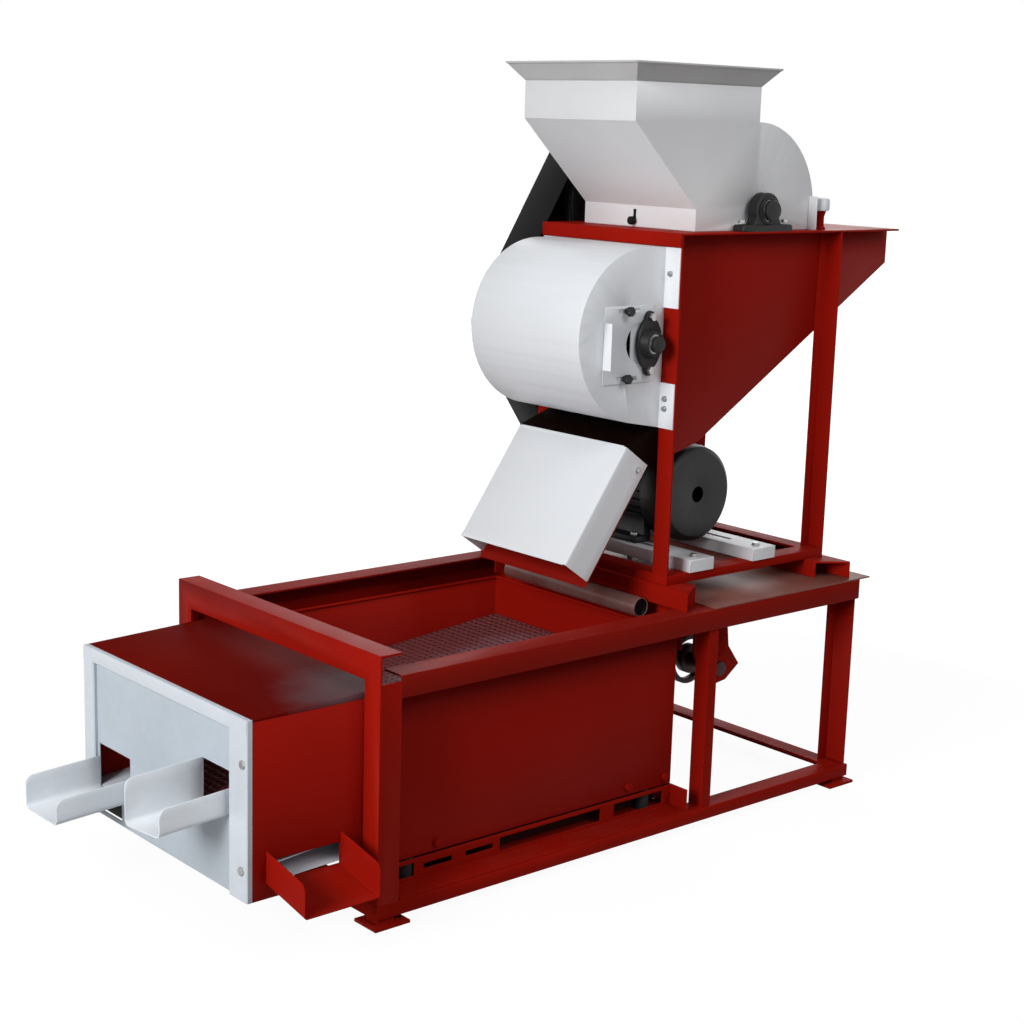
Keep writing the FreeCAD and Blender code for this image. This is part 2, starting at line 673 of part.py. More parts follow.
def make_blower_housing():
    outline = [
        ("tower_start", "housing_low"),
        ("tower_start", "scroll_height+scroll_radius"),
        Arc((SCROLL_X, "scroll_height"), "scroll_radius", "90", "260"),
    ]
    inner = [
        ("tower_start+1", "housing_low+core_sheet"),
        ("tower_start+1", "scroll_height+scroll_radius-core_sheet"),
        Arc((SCROLL_X, "scroll_height"), "scroll_radius-core_sheet", "90", "260"),
    ]
    body = prism("housing_body", "XZ", [outline], CORE_FRONT, CORE_WIDTH)
    pocket(body, "XZ", [inner], f"{CORE_FRONT}+core_sheet", f"{CORE_WIDTH}-2*core_sheet")
    for side, place in (("front", CORE_FRONT), ("rear", f"{CORE_BACK}-core_sheet")):
        collar = Circle((FAN_X, "fan_height"), "fan_bore+6")
        holes = [collar]
        if side == "front":
            holes.append(rectangle("inlet_start", "fan_height-inlet_height/2", "inlet_width", "inlet_height"))
            holes += [Circle(("knob_position", height), "stud_radius+shaft_fit") for height in KNOB_HEIGHTS]
        pocket(body, "XZ", holes, f"{place}-1", "core_sheet+2")
    strips = []
    pieces = (("upper", "strip_gap_high", "scroll_height+scroll_radius"), ("lower", "housing_low", "strip_gap_low"))
    for side, place in (("front", f"{CORE_FRONT}-strip_width"), ("rear", CORE_BACK)):
        for name, low, high in pieces:
            strips.append(box(f"strip_{side}_{name}", ("tower_start-core_sheet", place, low),
                              ("core_sheet", "strip_width", f"{high}-{low}")))
    roots = []
    for side, place in (("front", CORE_FRONT), ("rear", f"{CORE_BACK}-core_sheet")):
        for name, low, high in pieces:
            roots.append(box(f"strip_root_{side}_{name}", ("tower_start-core_sheet", place, low),
                             ("core_sheet", "core_sheet", f"{high}-{low}")))
    subpart(join("housing_folded", body, *strips, *roots), "blower_housing")


def make_fan():
    hub = turned("fan_hub_body", rectangle("fan_bore", f"{CORE_FRONT}+fan_side_gap", "fan_hub-fan_bore",
                                           f"{CORE_WIDTH}-2*fan_side_gap"))
    blade = new_body("fan_blade_body")
    reach = "fan_radius"
    pad(blade, "XY", [rectangle("fan_hub-2", f"{CORE_FRONT}+fan_side_gap", f"{reach}-fan_hub+2",
                                f"{CORE_WIDTH}-2*fan_side_gap")], "0", "blade_sheet")
    first = blade.Tip
    blade.Tip = first
    pattern = blade.newObject("PartDesign::PolarPattern", "fan_blade_pattern")
    pattern.Originals = [first]
    pattern.Axis = (origin_feature(blade, "Y_Axis"), [""])
    pattern.Angle = 360
    pattern.Occurrences = 6
    blade.Tip = pattern
    discs = []
    for name, place in (("near", f"{CORE_FRONT}+fan_side_gap+60"), ("far", f"{CORE_BACK}-fan_side_gap-60")):
        discs.append(turned(f"fan_disc_{name}", rectangle("fan_bore", place, "fan_radius*0.6", "blade_sheet")))
    wheel = join("fan_wheel", hub, *discs, blade)
    subpart(wheel, "fan_impeller", (FAN_X, "0", "fan_height"))


def make_fan_shaft():
    start = f"{CORE_FRONT}-flange_bearing_depth-4"
    length = "drive_start+2*drive_pitch+4"
    shaft = turned("fan_shaft_body", rectangle("0", start, "fan_bore", f"{length}-({start})"))
    subpart(shaft, "fan_shaft", (FAN_X, "0", "fan_height"))


def make_flange_bearings():
    pieces = []
    for side, place, outward in (("front", CORE_FRONT, -1), ("rear", CORE_BACK, 1)):
        seat = place if outward > 0 else f"{place}-core_sheet"
        if outward > 0:
            steps = [("fan_bore+shaft_fit", seat), ("flange_bearing_size/2-2", seat),
                     ("flange_bearing_size/2-2", f"{seat}+10"), ("flange_bearing_size/2-14", f"{seat}+18"),
                     ("flange_bearing_size/2-18", f"{seat}+26"), ("fan_bore+shaft_fit", f"{seat}+26")]
        else:
            seat = place
            steps = [("fan_bore+shaft_fit", seat), ("flange_bearing_size/2-2", seat),
                     ("flange_bearing_size/2-2", f"{seat}-10"), ("flange_bearing_size/2-14", f"{seat}-20"),
                     ("flange_bearing_size/2-18", f"{seat}-flange_bearing_depth"),
                     ("fan_bore+shaft_fit", f"{seat}-flange_bearing_depth")]
        pieces.append(turned(f"flange_bearing_{side}", steps))
    subpart(group("flange_bearing_group", *pieces), "fan_bearings", (FAN_X, "0", "fan_height"))


def make_shutter():
    plate = rectangle("shutter_start", "shutter_low", "shutter_length", "shutter_height")
    slots = []
    for place in KNOB_HEIGHTS:
        slots.append(rectangle("knob_position-shutter_close-stud_radius-1", f"{place}-stud_radius-0.5",
                               "shutter_open+shutter_close+2*stud_radius+2", "2*stud_radius+1"))
    body = prism("shutter_plate_body", "XZ", [plate, *slots], f"{CORE_FRONT}-slide_gap-shutter_sheet", "shutter_sheet")
    reach = "flange_bearing_size/2"
    end = "shutter_start+shutter_length+1"
    notch = [Arc((f"{FAN_X}-shutter_close", "fan_height"), reach, "90", "270"),
             (end, f"fan_height-{reach}"), (end, f"fan_height+{reach}")]
    pocket(body, "XZ", [notch], f"{CORE_FRONT}-slide_gap-shutter_sheet-1", "shutter_sheet+2")
    handle = box("shutter_handle", ("shutter_start", f"{CORE_FRONT}-slide_gap-handle_depth",
                                    "shutter_low+shutter_height/2-handle_height/2"),
                 ("shutter_sheet", "handle_depth", "handle_height"))
    subpart(join("shutter_folded", body, handle), "air_shutter")


def make_knobs():
    for name, place in zip(("lower", "upper"), KNOB_HEIGHTS):
        seat = "-slide_gap*2-shutter_sheet"
        steps = [("0", "core_sheet+6"), ("stud_radius", "core_sheet+6"), ("stud_radius", seat),
                 ("knob_radius*0.75", seat), ("knob_radius", f"{seat}-4"),
                 ("knob_radius", f"{seat}-knob_length+3"), ("knob_radius-3", f"{seat}-knob_length"),
                 ("0", f"{seat}-knob_length")]
        knob = turned(f"clamp_knob_{name}_body", steps)
        subpart(knob, f"clamp_knob_{name}", ("knob_position", CORE_FRONT, place))


# Kernel chute

def along_slope(down, deep):
    """Point of the cover section: a distance down the slope and a depth away from its rear face."""
    run, rise = "cos(chute_slope*1 deg)", "sin(chute_slope*1 deg)"
    return (f"chute_face_x-({down})*{run}-({deep})*{rise}", f"chute_face_z-({down})*{rise}+({deep})*{run}")


def make_chute_cover():
    outer = [along_slope("0", "0"), along_slope("cover_length", "0"), along_slope("cover_length", "cover_depth"),
             along_slope("0", "cover_depth")]
    inner = [along_slope("-1", "-1"), along_slope("cover_length+1", "-1"),
             along_slope("cover_length+1", "cover_depth-core_sheet"), along_slope("-1", "cover_depth-core_sheet")]
    body = prism("chute_cover_body", "XZ", [outer], f"{CORE_FRONT}", CORE_WIDTH)
    pocket(body, "XZ", [inner], f"{CORE_FRONT}+core_sheet", f"{CORE_WIDTH}-2*core_sheet")
    subpart(body, "chute_cover")


def make_chute():
    floor = [along_slope("-10", "0"), along_slope("cover_length+cover_tail", "0"),
             along_slope("cover_length+cover_tail", "-core_sheet"), along_slope("-10", "-core_sheet")]
    front = f"{CORE_FRONT}"
    plate = prism("chute_floor_body", "XZ", [floor], front, CORE_WIDTH)
    neck = [along_slope("-10", "0"), along_slope("-10", "-core_sheet"), ("tower_start", "chute_lip_height"),
            ("tower_start", "chute_lip_height+core_sheet*1.5")]
    throat = prism("chute_neck_body", "XZ", [neck], front, CORE_WIDTH)
    top_corner = along_slope("0", "cover_depth")
    hood = [top_corner, ("tower_start", "housing_low"), ("tower_start", "housing_low-core_sheet"),
            (f"{top_corner[0]}+core_sheet", f"{top_corner[1]}-core_sheet*0.6")]
    roof = prism("chute_hood_body", "XZ", [hood], front, CORE_WIDTH)
    cheek = [("tower_start", "housing_low-core_sheet"), (f"{top_corner[0]}+core_sheet", f"{top_corner[1]}-core_sheet*0.6"),
             along_slope("0", "0"), along_slope("-10", "0"), ("tower_start", "chute_lip_height+core_sheet")]
    sides = []
    for side, place in (("front", front), ("rear", f"{CORE_BACK}-core_sheet")):
        sides.append(prism(f"chute_cheek_{side}", "XZ", [cheek], place, "core_sheet"))
    subpart(join("chute_welded", plate, throat, roof, *sides), "kernel_chute")


def make_nose():
    nose = turned("nose_tube", rectangle("nose_radius-core_sheet", f"{CORE_FRONT}-3", "core_sheet", f"{CORE_WIDTH}+80"))
    subpart(nose, "rolled_lip", ("nose_centre", "0", "nose_height"))


# Motor

def make_motor():
    half = "motor_half"
    frame = turned("motor_frame_body", [
        ("0", f"-{half}+cowl_length-8"), ("motor_radius-3", f"-{half}+cowl_length-8"),
        ("motor_radius-3", f"-{half}+cowl_length+6"), ("motor_frame-8", f"-{half}+cowl_length+6"),
        ("motor_frame-8", f"{half}-22"), ("motor_frame-14", f"{half}-8"), ("motor_shaft+22", f"{half}"),
        ("motor_shaft+shaft_fit", half), ("motor_shaft+shaft_fit", f"-{half}+cowl_length+20"),
        ("0", f"-{half}+cowl_length+20")])
    fins = new_body("motor_fins_body")
    pad(fins, "XZ", [rectangle("motor_frame-10", "-1.5", "10", "3")], f"-{half}+cowl_length+6",
        f"2*{half}-cowl_length-36")
    first = fins.Tip
    pattern = fins.newObject("PartDesign::PolarPattern", "motor_fin_pattern")
    pattern.Originals = [first]
    pattern.Axis = (origin_feature(fins, "Y_Axis"), [""])
    pattern.Angle = 360
    pattern.Occurrences = 32
    fins.Tip = pattern
    feet = []
    for side, sign in (("left", -1), ("right", 1)):
        place = f"{sign}*motor_foot_span/2-motor_foot_width/2"
        feet.append(box(f"motor_foot_{side}", (place, "-70", "-motor_radius"),
                        ("motor_foot_width", "150", "motor_foot_sheet")))
        web_x = f"{sign}*(motor_foot_span/2-motor_foot_width/2-6)-10"
        feet.append(box(f"motor_web_{side}", (web_x, "-62", "-motor_radius"), ("20", "134", "52")))
    terminal = box("terminal_box", ("motor_frame-16", "-10", "-34"), ("44", "84", "68"))
    body = join("motor_cast", frame, fins, *feet, terminal)
    subpart(body, "motor_body", ("motor_x", "0", MOTOR_HEIGHT))


def make_motor_cowl():
    low = "-motor_half"
    high = "-motor_half+cowl_length"
    steps = [("16", low), ("motor_radius-14", low), ("motor_radius-4", f"{low}+8"), ("motor_radius-1", f"{low}+22"),
             ("motor_radius-1", high), ("motor_radius-3", high), ("motor_radius-3", f"{low}+22"),
             ("motor_radius-6", f"{low}+10"), ("motor_radius-15", f"{low}+2"), ("16", f"{low}+2")]
    body = turned("cowl_body", steps)
    subpart(body, "motor_cowl", ("motor_x", "0", MOTOR_HEIGHT))


def make_motor_shaft():
    low = "-motor_half+cowl_length+20.5"
    high = "drive_start+3*drive_pitch"
    shaft = turned("motor_shaft_body", rectangle("0", low, "motor_shaft", f"{high}-({low})"))
    subpart(shaft, "motor_shaft", ("motor_x", "0", MOTOR_HEIGHT))


def make_motor_rails():
    rails = []
    for side, sign in (("left", -1), ("right", 1)):
        x_text = f"motor_x+{sign}*motor_foot_span/2-rail_width/2"
        start, length = "-tower_front-4", "tower_front+tower_back+4"
        outline = rectangle(x_text, TOWER_BASE, "rail_width", "rail_height")
        inner = rectangle(f"{x_text}+bar_wall", f"{TOWER_BASE}-1", "rail_width-2*bar_wall", "rail_height-bar_wall+1")
        body = prism(f"motor_rail_{side}_body", "XZ", [outline], start, length)
        pocket(body, "XZ", [inner], f"{start}-1", f"{length}+2")
        slot = rectangle(f"motor_x+{sign}*motor_foot_span/2-rail_slot/2", "-150", "rail_slot", "260")
        pocket(body, "XY", [slot], f"{TOWER_BASE}+rail_height-bar_wall-1", "bar_wall+2")
        rails.append(body)
    subpart(group("motor_rails_group", *rails), "motor_rails")


# Hopper and sheller

def loft(name, sections):
    """Part loft through closed rectangles given as (left, front, length, width, height)."""
    wires = []
    for left, front, length, width, height in sections:
        corners = [Vector(number(left), number(front), number(height))]
        corners.append(corners[0] + Vector(number(length), 0, 0))
        corners.append(corners[0] + Vector(number(length), number(width), 0))
        corners.append(corners[0] + Vector(0, number(width), 0))
        wires.append(Part.makePolygon(corners + corners[:1]))
    return Part.makeLoft(wires, True, True)


def make_hopper_rim():
    neck_top = "hopper_top-flare_drop"
    neck = ("hopper_start", CORE_FRONT, "hopper_length", CORE_WIDTH, neck_top)
    rim = ("hopper_start-hopper_flare", f"{CORE_FRONT}-hopper_flare", "hopper_length+2*hopper_flare",
           f"{CORE_WIDTH}+2*hopper_flare", "hopper_top")
    sheet_neck = ("hopper_start+core_sheet", f"{CORE_FRONT}+core_sheet", "hopper_length-2*core_sheet",
                  f"{CORE_WIDTH}-2*core_sheet", f"{neck_top}")
    sheet_rim = ("hopper_start-hopper_flare+core_sheet", f"{CORE_FRONT}-hopper_flare+core_sheet",
                 "hopper_length+2*hopper_flare-2*core_sheet", f"{CORE_WIDTH}+2*hopper_flare-2*core_sheet",
                 "hopper_top")
    item = document.addObject("Part::Feature", "hopper_rim_shell")
    item.Shape = loft("outer", (neck, rim)).cut(loft("inner", (sheet_neck, sheet_rim)))
    subpart(item, "hopper_rim")


def make_hopper():
    neck_top = "hopper_top-flare_drop"
    end = "(hopper_start+hopper_length)"
    start_angle = math.degrees(math.acos((number(end) - number("drum_x")) / number("cover_radius")))
    end_angle = math.degrees(math.asin((number("tower_top") - number("drum_height")) / number("cover_radius")))
    outer = [
        ("throat_x", "tower_top"), ("throat_x", "throat_height"), ("hopper_start", "neck_low"),
        ("hopper_start", neck_top), (end, neck_top),
        Arc(("drum_x", "drum_height"), "cover_radius", str(start_angle), str(end_angle)),
    ]
    inner_start = math.degrees(math.acos((number(end) - number("drum_x") - number("core_sheet"))
                                         / (number("cover_radius") - number("core_sheet"))))
    inner_end = math.degrees(math.asin((number("tower_top") - 1 - number("drum_height"))
                                       / (number("cover_radius") - number("core_sheet"))))
    inner = [
        ("throat_x+core_sheet", "tower_top-1"), ("throat_x+core_sheet", "throat_height+core_sheet*0.4"),
        ("hopper_start+core_sheet", "neck_low+core_sheet*0.4"),
        ("hopper_start+core_sheet", f"{neck_top}+1"), (f"{end}-core_sheet", f"{neck_top}+1"),
        Arc(("drum_x", "drum_height"), "cover_radius-core_sheet", str(inner_start), str(inner_end)),
    ]
    body = prism("hopper_body_shell", "XZ", [outer], CORE_FRONT, CORE_WIDTH)
    pocket(body, "XZ", [inner], f"{CORE_FRONT}+core_sheet", f"{CORE_WIDTH}-2*core_sheet")
    for side, place in (("front", CORE_FRONT), ("rear", f"{CORE_BACK}-core_sheet")):
        pocket(body, "XZ", [Circle(("drum_x", "drum_height"), "drum_shaft+4")], f"{place}-1", "core_sheet+2")
    slot = rectangle("gate_place-stud_radius-1", "tower_top+8", "2*stud_radius+2", "gate_travel+2*stud_radius+2")
    pocket(body, "YZ", [slot], "throat_x-1", "core_sheet+2")
    subpart(body, "hopper_body")


def make_feed_gate():
    plate = box("gate_plate", ("throat_x+core_sheet+slide_gap", f"{CORE_FRONT}+drum_side_gap", "tower_top+3"),
                ("core_sheet", f"{CORE_WIDTH}-2*drum_side_gap", "32"))
    stud = rod("gate_stud", "x", ("throat_x-10", "gate_place", "tower_top+9+stud_radius"), "stud_radius", "14")
    knob = rod("gate_knob", "x", ("throat_x-12", "gate_place", "tower_top+9+stud_radius"), "knob_radius-1", "8")
    subpart(join("gate_welded", plate, stud, knob), "feed_gate")


def make_drum():
    start = f"{CORE_FRONT}+core_sheet+drum_side_gap"
    length = f"{CORE_WIDTH}-2*core_sheet-2*drum_side_gap"
    hub = turned("drum_hub_body", rectangle("drum_shaft", start, "12", length))
    discs = []
    for index in range(3):
        place = f"{start}+8+{index}*({length}-16-disc_sheet)/2"
        discs.append(turned(f"drum_disc_{index}", rectangle("drum_shaft", place, "drum_radius-bar_depth-drum_shaft+2",
                                                            "disc_sheet")))
    bars = new_body("drum_bars_body")
    pad(bars, "XZ", [rectangle("drum_radius-bar_depth", "-bar_thickness/2", "bar_depth", "bar_thickness")],
        start, length)
    first = bars.Tip
    pattern = bars.newObject("PartDesign::PolarPattern", "drum_bar_pattern")
    pattern.Originals = [first]
    pattern.Axis = (origin_feature(bars, "Y_Axis"), [""])
    pattern.Angle = 360
    bind(pattern, "Occurrences", "drum_bars")
    bars.Tip = pattern
    subpart(join("drum_welded", hub, *discs, bars), "shelling_drum", ("drum_x", "0", "drum_height"))


def make_drum_shaft():
    start = "-tower_front-8"
    high = "drive_start+drive_pitch"
    shaft = turned("drum_shaft_body", rectangle("0", start, "drum_shaft", f"{high}-({start})"))
    subpart(shaft, "drum_shaft", ("drum_x", "0", "drum_height"))


def make_pillow_blocks():
    for side, place in (("front", "-tower_front"), ("rear", CORE_BACK)):
        base = "tower_top"
        low = f"{base}-drum_height"
        outline = [
            ("-block_length/2", low), ("block_length/2", low), ("block_length/2", f"{low}+block_base"),
            ("block_dome+6", f"{low}+block_base"),
            Arc(("0", "0"), "block_dome", "0", "180"),
            ("-block_dome-6", f"{low}+block_base"), ("-block_length/2", f"{low}+block_base"),
        ]
        bore = Circle(("0", "0"), "drum_shaft+shaft_fit")
        body = prism(f"pillow_block_{side}_body", "XZ", [outline, bore], "0", "block_width-2")
        subpart(body, f"pillow_block_{side}", ("drum_x", f"{place}+1", "drum_height"))


def make_concave():
    rods = []
    middle = "(grate_rods-1)/2"
    for index in range(int(number("grate_rods"))):
        turn = f"({index}-{middle})*grate_pitch*1 deg"
        place = (f"{GRATE_RADIUS}*sin({turn})", f"{CORE_FRONT}+core_sheet", f"-{GRATE_RADIUS}*cos({turn})")
        rods.append(rod(f"grate_rod_{index}", "y", place, "grate_rod", f"{CORE_WIDTH}-2*core_sheet"))
    ribs = []
    spread = number("(grate_rods-1)/2*grate_pitch+2.5")
    for name, place in (("front", f"{CORE_FRONT}+core_sheet+2"), ("middle", f"({CORE_FRONT}+{CORE_BACK})/2-3"),
                        ("rear", f"{CORE_BACK}-core_sheet-8")):
        outline = [Arc(("0", "0"), f"{GRATE_RADIUS}-grate_rod*0.5", str(270 - spread), str(270 + spread)),
                   Arc(("0", "0"), f"{GRATE_RADIUS}+grate_rod+2", str(270 + spread), str(270 - spread))]
        ribs.append(prism(f"grate_rib_{name}", "XZ", [outline], place, "6"))
    subpart(join("concave_welded", *ribs, *rods), "bar_concave", ("drum_x", "0", "drum_height"))


# Belt drive

def pulley(name, radius, bore, planes):
    """Grooved pulley with one groove per belt plane, hub to rim."""
    start = f"drive_start+{planes[0]}*drive_pitch"
    steps = [(bore, start), (radius, start)]
    for plane in planes:
        low = f"drive_start+{plane}*drive_pitch"
        steps += [(radius, f"{low}+3"), (f"{radius}-groove_depth", f"{low}+5.2"),
                  (f"{radius}-groove_depth", f"{low}+pulley_width-5.2"), (radius, f"{low}+pulley_width-3")]
    end = f"drive_start+{planes[-1]}*drive_pitch+pulley_width"
    steps += [(radius, end), (bore, end)]
    return turned(name, steps)


def make_pulleys():
    drum = pulley("drum_pulley_body", "drum_pulley", "drum_shaft", (0,))
    for face in ("drive_start-1", "drive_start+pulley_width/2+4"):
        ring = [Circle(("0", "0"), "drum_pulley-groove_depth-8"), Circle(("0", "0"), "drum_shaft+20")]
        pocket(drum, "XZ", ring, face, "pulley_width/2-3")
    windows = []
    for index in range(5):
        turn = f"{index * 72} deg"
        centre = (f"(drum_pulley*0.53)*cos({turn})", f"(drum_pulley*0.53)*sin({turn})")
        windows.append(Circle(centre, "drum_pulley*0.2"))
    pocket(drum, "XZ", windows, "drive_start-1", "pulley_width+2")
    subpart(drum, "drum_pulley", ("drum_x", "0", "drum_height"))
    motor = pulley("motor_pulley_body", "motor_pulley", "motor_shaft", (0, 1, 2))
    subpart(motor, "motor_pulley", ("motor_x", "0", MOTOR_HEIGHT))
    fan = pulley("fan_pulley_body", "fan_pulley", "fan_bore", (1,))
    subpart(fan, "fan_pulley", (FAN_X, "0", "fan_height"))
    shaker = pulley("shaker_pulley_body", "shaker_pulley", "shaker_radius", (2,))
    subpart(shaker, "shaker_pulley", ("shaker_x", "0", "shaker_height"))


def hull_wire(circles, place):
    """Wire of tangent lines and arcs around circles given in order, as (x, z, radius)."""
    turns = []
    count = len(circles)
    for index in range(count):
        (x_a, z_a, r_a), (x_b, z_b, r_b) = circles[index], circles[(index + 1) % count]
        gap = math.hypot(x_b - x_a, z_b - z_a)
        heading = math.atan2(z_b - z_a, x_b - x_a)
        turns.append(heading - math.acos((r_a - r_b) / gap))

    def rim(circle, turn):
        x_centre, z_centre, reach = circle
        return Vector(x_centre + reach * math.cos(turn), place, z_centre + reach * math.sin(turn))

    edges = []
    for index in range(count):
        arrive, leave = turns[index - 1], turns[index]
        while leave < arrive:
            leave += 2 * math.pi
        circle = circles[index]
        arc = Part.Arc(rim(circle, arrive), rim(circle, (arrive + leave) / 2), rim(circle, leave))
        edges.append(arc.toShape())
        following = circles[(index + 1) % count]
        edges.append(Part.LineSegment(rim(circle, leave), rim(following, leave)).toShape())
    return Part.Wire(edges)


def hull_prism(circles, start, depth):
    face = Part.Face(hull_wire(circles, number(start)))
    return face.extrude(Vector(0, number(depth), 0))


def belt_circle(x_text, z_text, radius, outward):
    return (number(x_text), number(z_text), number(radius) + outward)


def make_belts():
    motor = ("motor_x", MOTOR_HEIGHT, "motor_pulley")
    routes = (
        ("drum_belt", motor, ("drum_x", "drum_height", "drum_pulley"), 0),
        ("fan_belt", motor, (FAN_X, "fan_height", "fan_pulley"), 1),
        ("shaker_belt", motor, ("shaker_x", "shaker_height", "shaker_pulley"), 2),
    )
    outer = number("belt_rise")
    inner = outer - number("belt_depth")
    for name, first, second, plane in routes:
        start = f"drive_start+{plane}*drive_pitch+pulley_width/2-belt_top/2"
        loops = []
        for reach in (outer, inner):
            loops.append([belt_circle(*first, reach), belt_circle(*second, reach)])
        item = document.addObject("Part::Feature", f"{name}_loop")
        item.Shape = hull_prism(loops[0], start, "belt_top").cut(hull_prism(loops[1], start, "belt_top"))
        subpart(item, name)


def make_guard():
    margin = number("guard_clearance") + number("belt_depth")
    centres = (
        ("motor_x", MOTOR_HEIGHT, "motor_pulley"),
        ("drum_x", "drum_height", "drum_pulley"),
        (FAN_X, "fan_height", "fan_pulley"),
    )
    outer = [belt_circle(*centre, margin) for centre in centres]
    inner = [belt_circle(*centre, margin - number("guard_sheet")) for centre in centres]
    shell = hull_prism(outer, "guard_start", "guard_depth")
    shell = shell.cut(hull_prism(inner, "guard_start-1", "guard_depth+1-guard_sheet"))
    passage = hull_prism([
        belt_circle("motor_x", MOTOR_HEIGHT, "motor_pulley", 4),
        belt_circle("shaker_x", "shaker_height", "shaker_pulley", 4),
    ], "drive_start+2*drive_pitch+1", "pulley_width-2")
    item = document.addObject("Part::Feature", "guard_shell")
    item.Shape = shell.cut(passage)
    subpart(item, "belt_guard")


# Shaker drive under the deck

def make_shaker():
    low, high = "-cheek_place-cheek_sheet-14", "drive_start+3*drive_pitch"
    shaft = turned("shaker_shaft_body", rectangle("0", low, "shaker_radius", f"{high}-({low})"))
    discs = []
    for side, sign in (("front", -1), ("rear", 1)):
        start = f"{sign}*rod_place-rod_sheet/2-2"
        discs.append(rod(f"eccentric_{side}", "y", ("throw", start, "0"), "eccentric_radius", "rod_sheet+4"))
    subpart(join("shaker_shaft_welded", shaft, *discs), "shaker_shaft", ("shaker_x", "0", "shaker_height"))


def make_cheeks():
    cheeks = []
    outline = [
        ("-65", "frame_height-shaker_height"), ("20", "frame_height-shaker_height"), ("35", "40"), ("67", "-2"),
        ("30", "-30"), ("0", "-34"), ("-30", "-30"), ("-65", "40"),
    ]
    bore = Circle(("0", "0"), "shaker_radius+shaft_fit")
    for side, place in (("front", "-cheek_place-cheek_sheet"), ("rear", "cheek_place-40")):
        plate = prism(f"cheek_{side}_plate", "XZ", [outline, bore], place, "cheek_sheet")
        boss_start = f"{place}-10" if side == "front" else f"{place}+cheek_sheet"
        boss = turned(f"cheek_{side}_boss", rectangle("shaker_radius+shaft_fit", boss_start, "13", "10"))
        cheeks.append(join(f"cheek_{side}_joined", plate, boss))
    subpart(group("shaker_cheeks_group", *cheeks), "shaker_brackets", ("shaker_x", "0", "shaker_height"))


def make_rods():
    rods = []
    eye = "(eccentric_radius+2*throw+1)"
    for side, sign in (("front", -1), ("rear", 1)):
        place = f"{sign}*rod_place-rod_sheet/2"
        start = "sieve_end-shaker_x"
        bar = box(f"rod_{side}_bar", (start, place, "-rod_height/2"),
                  (f"-({start})-{eye}-2", "rod_sheet", "rod_height"))
        ring = prism(f"rod_{side}_eye", "XZ", [Circle(("0", "0"), f"{eye}+10"), Circle(("0", "0"), eye)],
                     place, "rod_sheet")
        foot = box(f"rod_{side}_foot", (start, f"{place}-18", "-30"), ("8", "rod_sheet+36", "60"))
        rods.append(join(f"rod_{side}_joined", bar, ring, foot))
    subpart(group("rods_group", *rods), "connecting_rods", ("shaker_x", "0", "shaker_height"))


# Sieve box

def make_sieve_walls():
    end = "sieve_end"
    start = "(sieve_start+sieve_sheet)"
    plan_outer = rectangle(start, "-sieve_half", f"{end}-{start}", "2*sieve_half")
    body = prism("sieve_walls_body", "XY", [plan_outer], "sieve_low", "sieve_top-sieve_low")
    plan_inner = rectangle(f"{start}-1", "sieve_sheet-sieve_half", f"{end}-{start}-sieve_sheet+1",
                           "2*sieve_half-2*sieve_sheet")
    pocket(body, "XY", [plan_inner], "sieve_low+sieve_sheet", "sieve_top-sieve_low")
    plan_low = rectangle(f"{start}-1", "sieve_lip-sieve_half", f"{end}-{start}-sieve_lip+1", "2*sieve_half-2*sieve_lip")
    pocket(body, "XY", [plan_low], "sieve_low-1", "sieve_sheet+2")
    window = rectangle("chute_start+sieve_sheet", "chute_floor+sieve_sheet", "chute_width-2*sieve_sheet",
                       "window_height")
    pocket(body, "XZ", [window], "-sieve_half-1", "sieve_sheet+2")
    subpart(body, "sieve_walls")


def make_sieve_cover():
    start = "(sieve_start+sieve_sheet)"
    side = [(start, "sieve_top"), (start, "sieve_top+4"), ("cover_end", "sieve_top+4+cover_rise"),
            ("cover_end", "sieve_top")]
    body = prism("sieve_cover_body", "XZ", [side], "-sieve_half", "2*sieve_half")
    inner = [(f"{start}-1", "sieve_top-1"), (f"{start}-1", "sieve_top+1"), ("cover_end-sieve_sheet",
             "sieve_top+1+cover_rise"), ("cover_end-sieve_sheet", "sieve_top-1")]
    pocket(body, "XZ", [inner], "sieve_sheet-sieve_half", "2*sieve_half-2*sieve_sheet")
    subpart(body, "sieve_cover")


def sieve_deck(name, height, fall, start):
    slope = [("sieve_end-sieve_sheet", height), (start, f"{height}-{fall}"),
             (start, f"{height}-{fall}-core_sheet"), ("sieve_end-sieve_sheet", f"{height}-core_sheet")]
    return prism(name, "XZ", [slope], "sieve_sheet-sieve_half", "2*sieve_half-2*sieve_sheet")


def make_decks():
    start = "(sieve_start+sieve_sheet)"
    subpart(sieve_deck("upper_tray_body", "tray_height", "deck_drop", start), "upper_tray")
    subpart(sieve_deck("kernel_screen_body", "screen_height", "deck_drop", start), "kernel_screen")
    pan_start = "chute_start"
    subpart(sieve_deck("bottom_pan_body", "pan_height", "(pan_height-chute_floor-sieve_sheet)", pan_start), "bottom_pan")


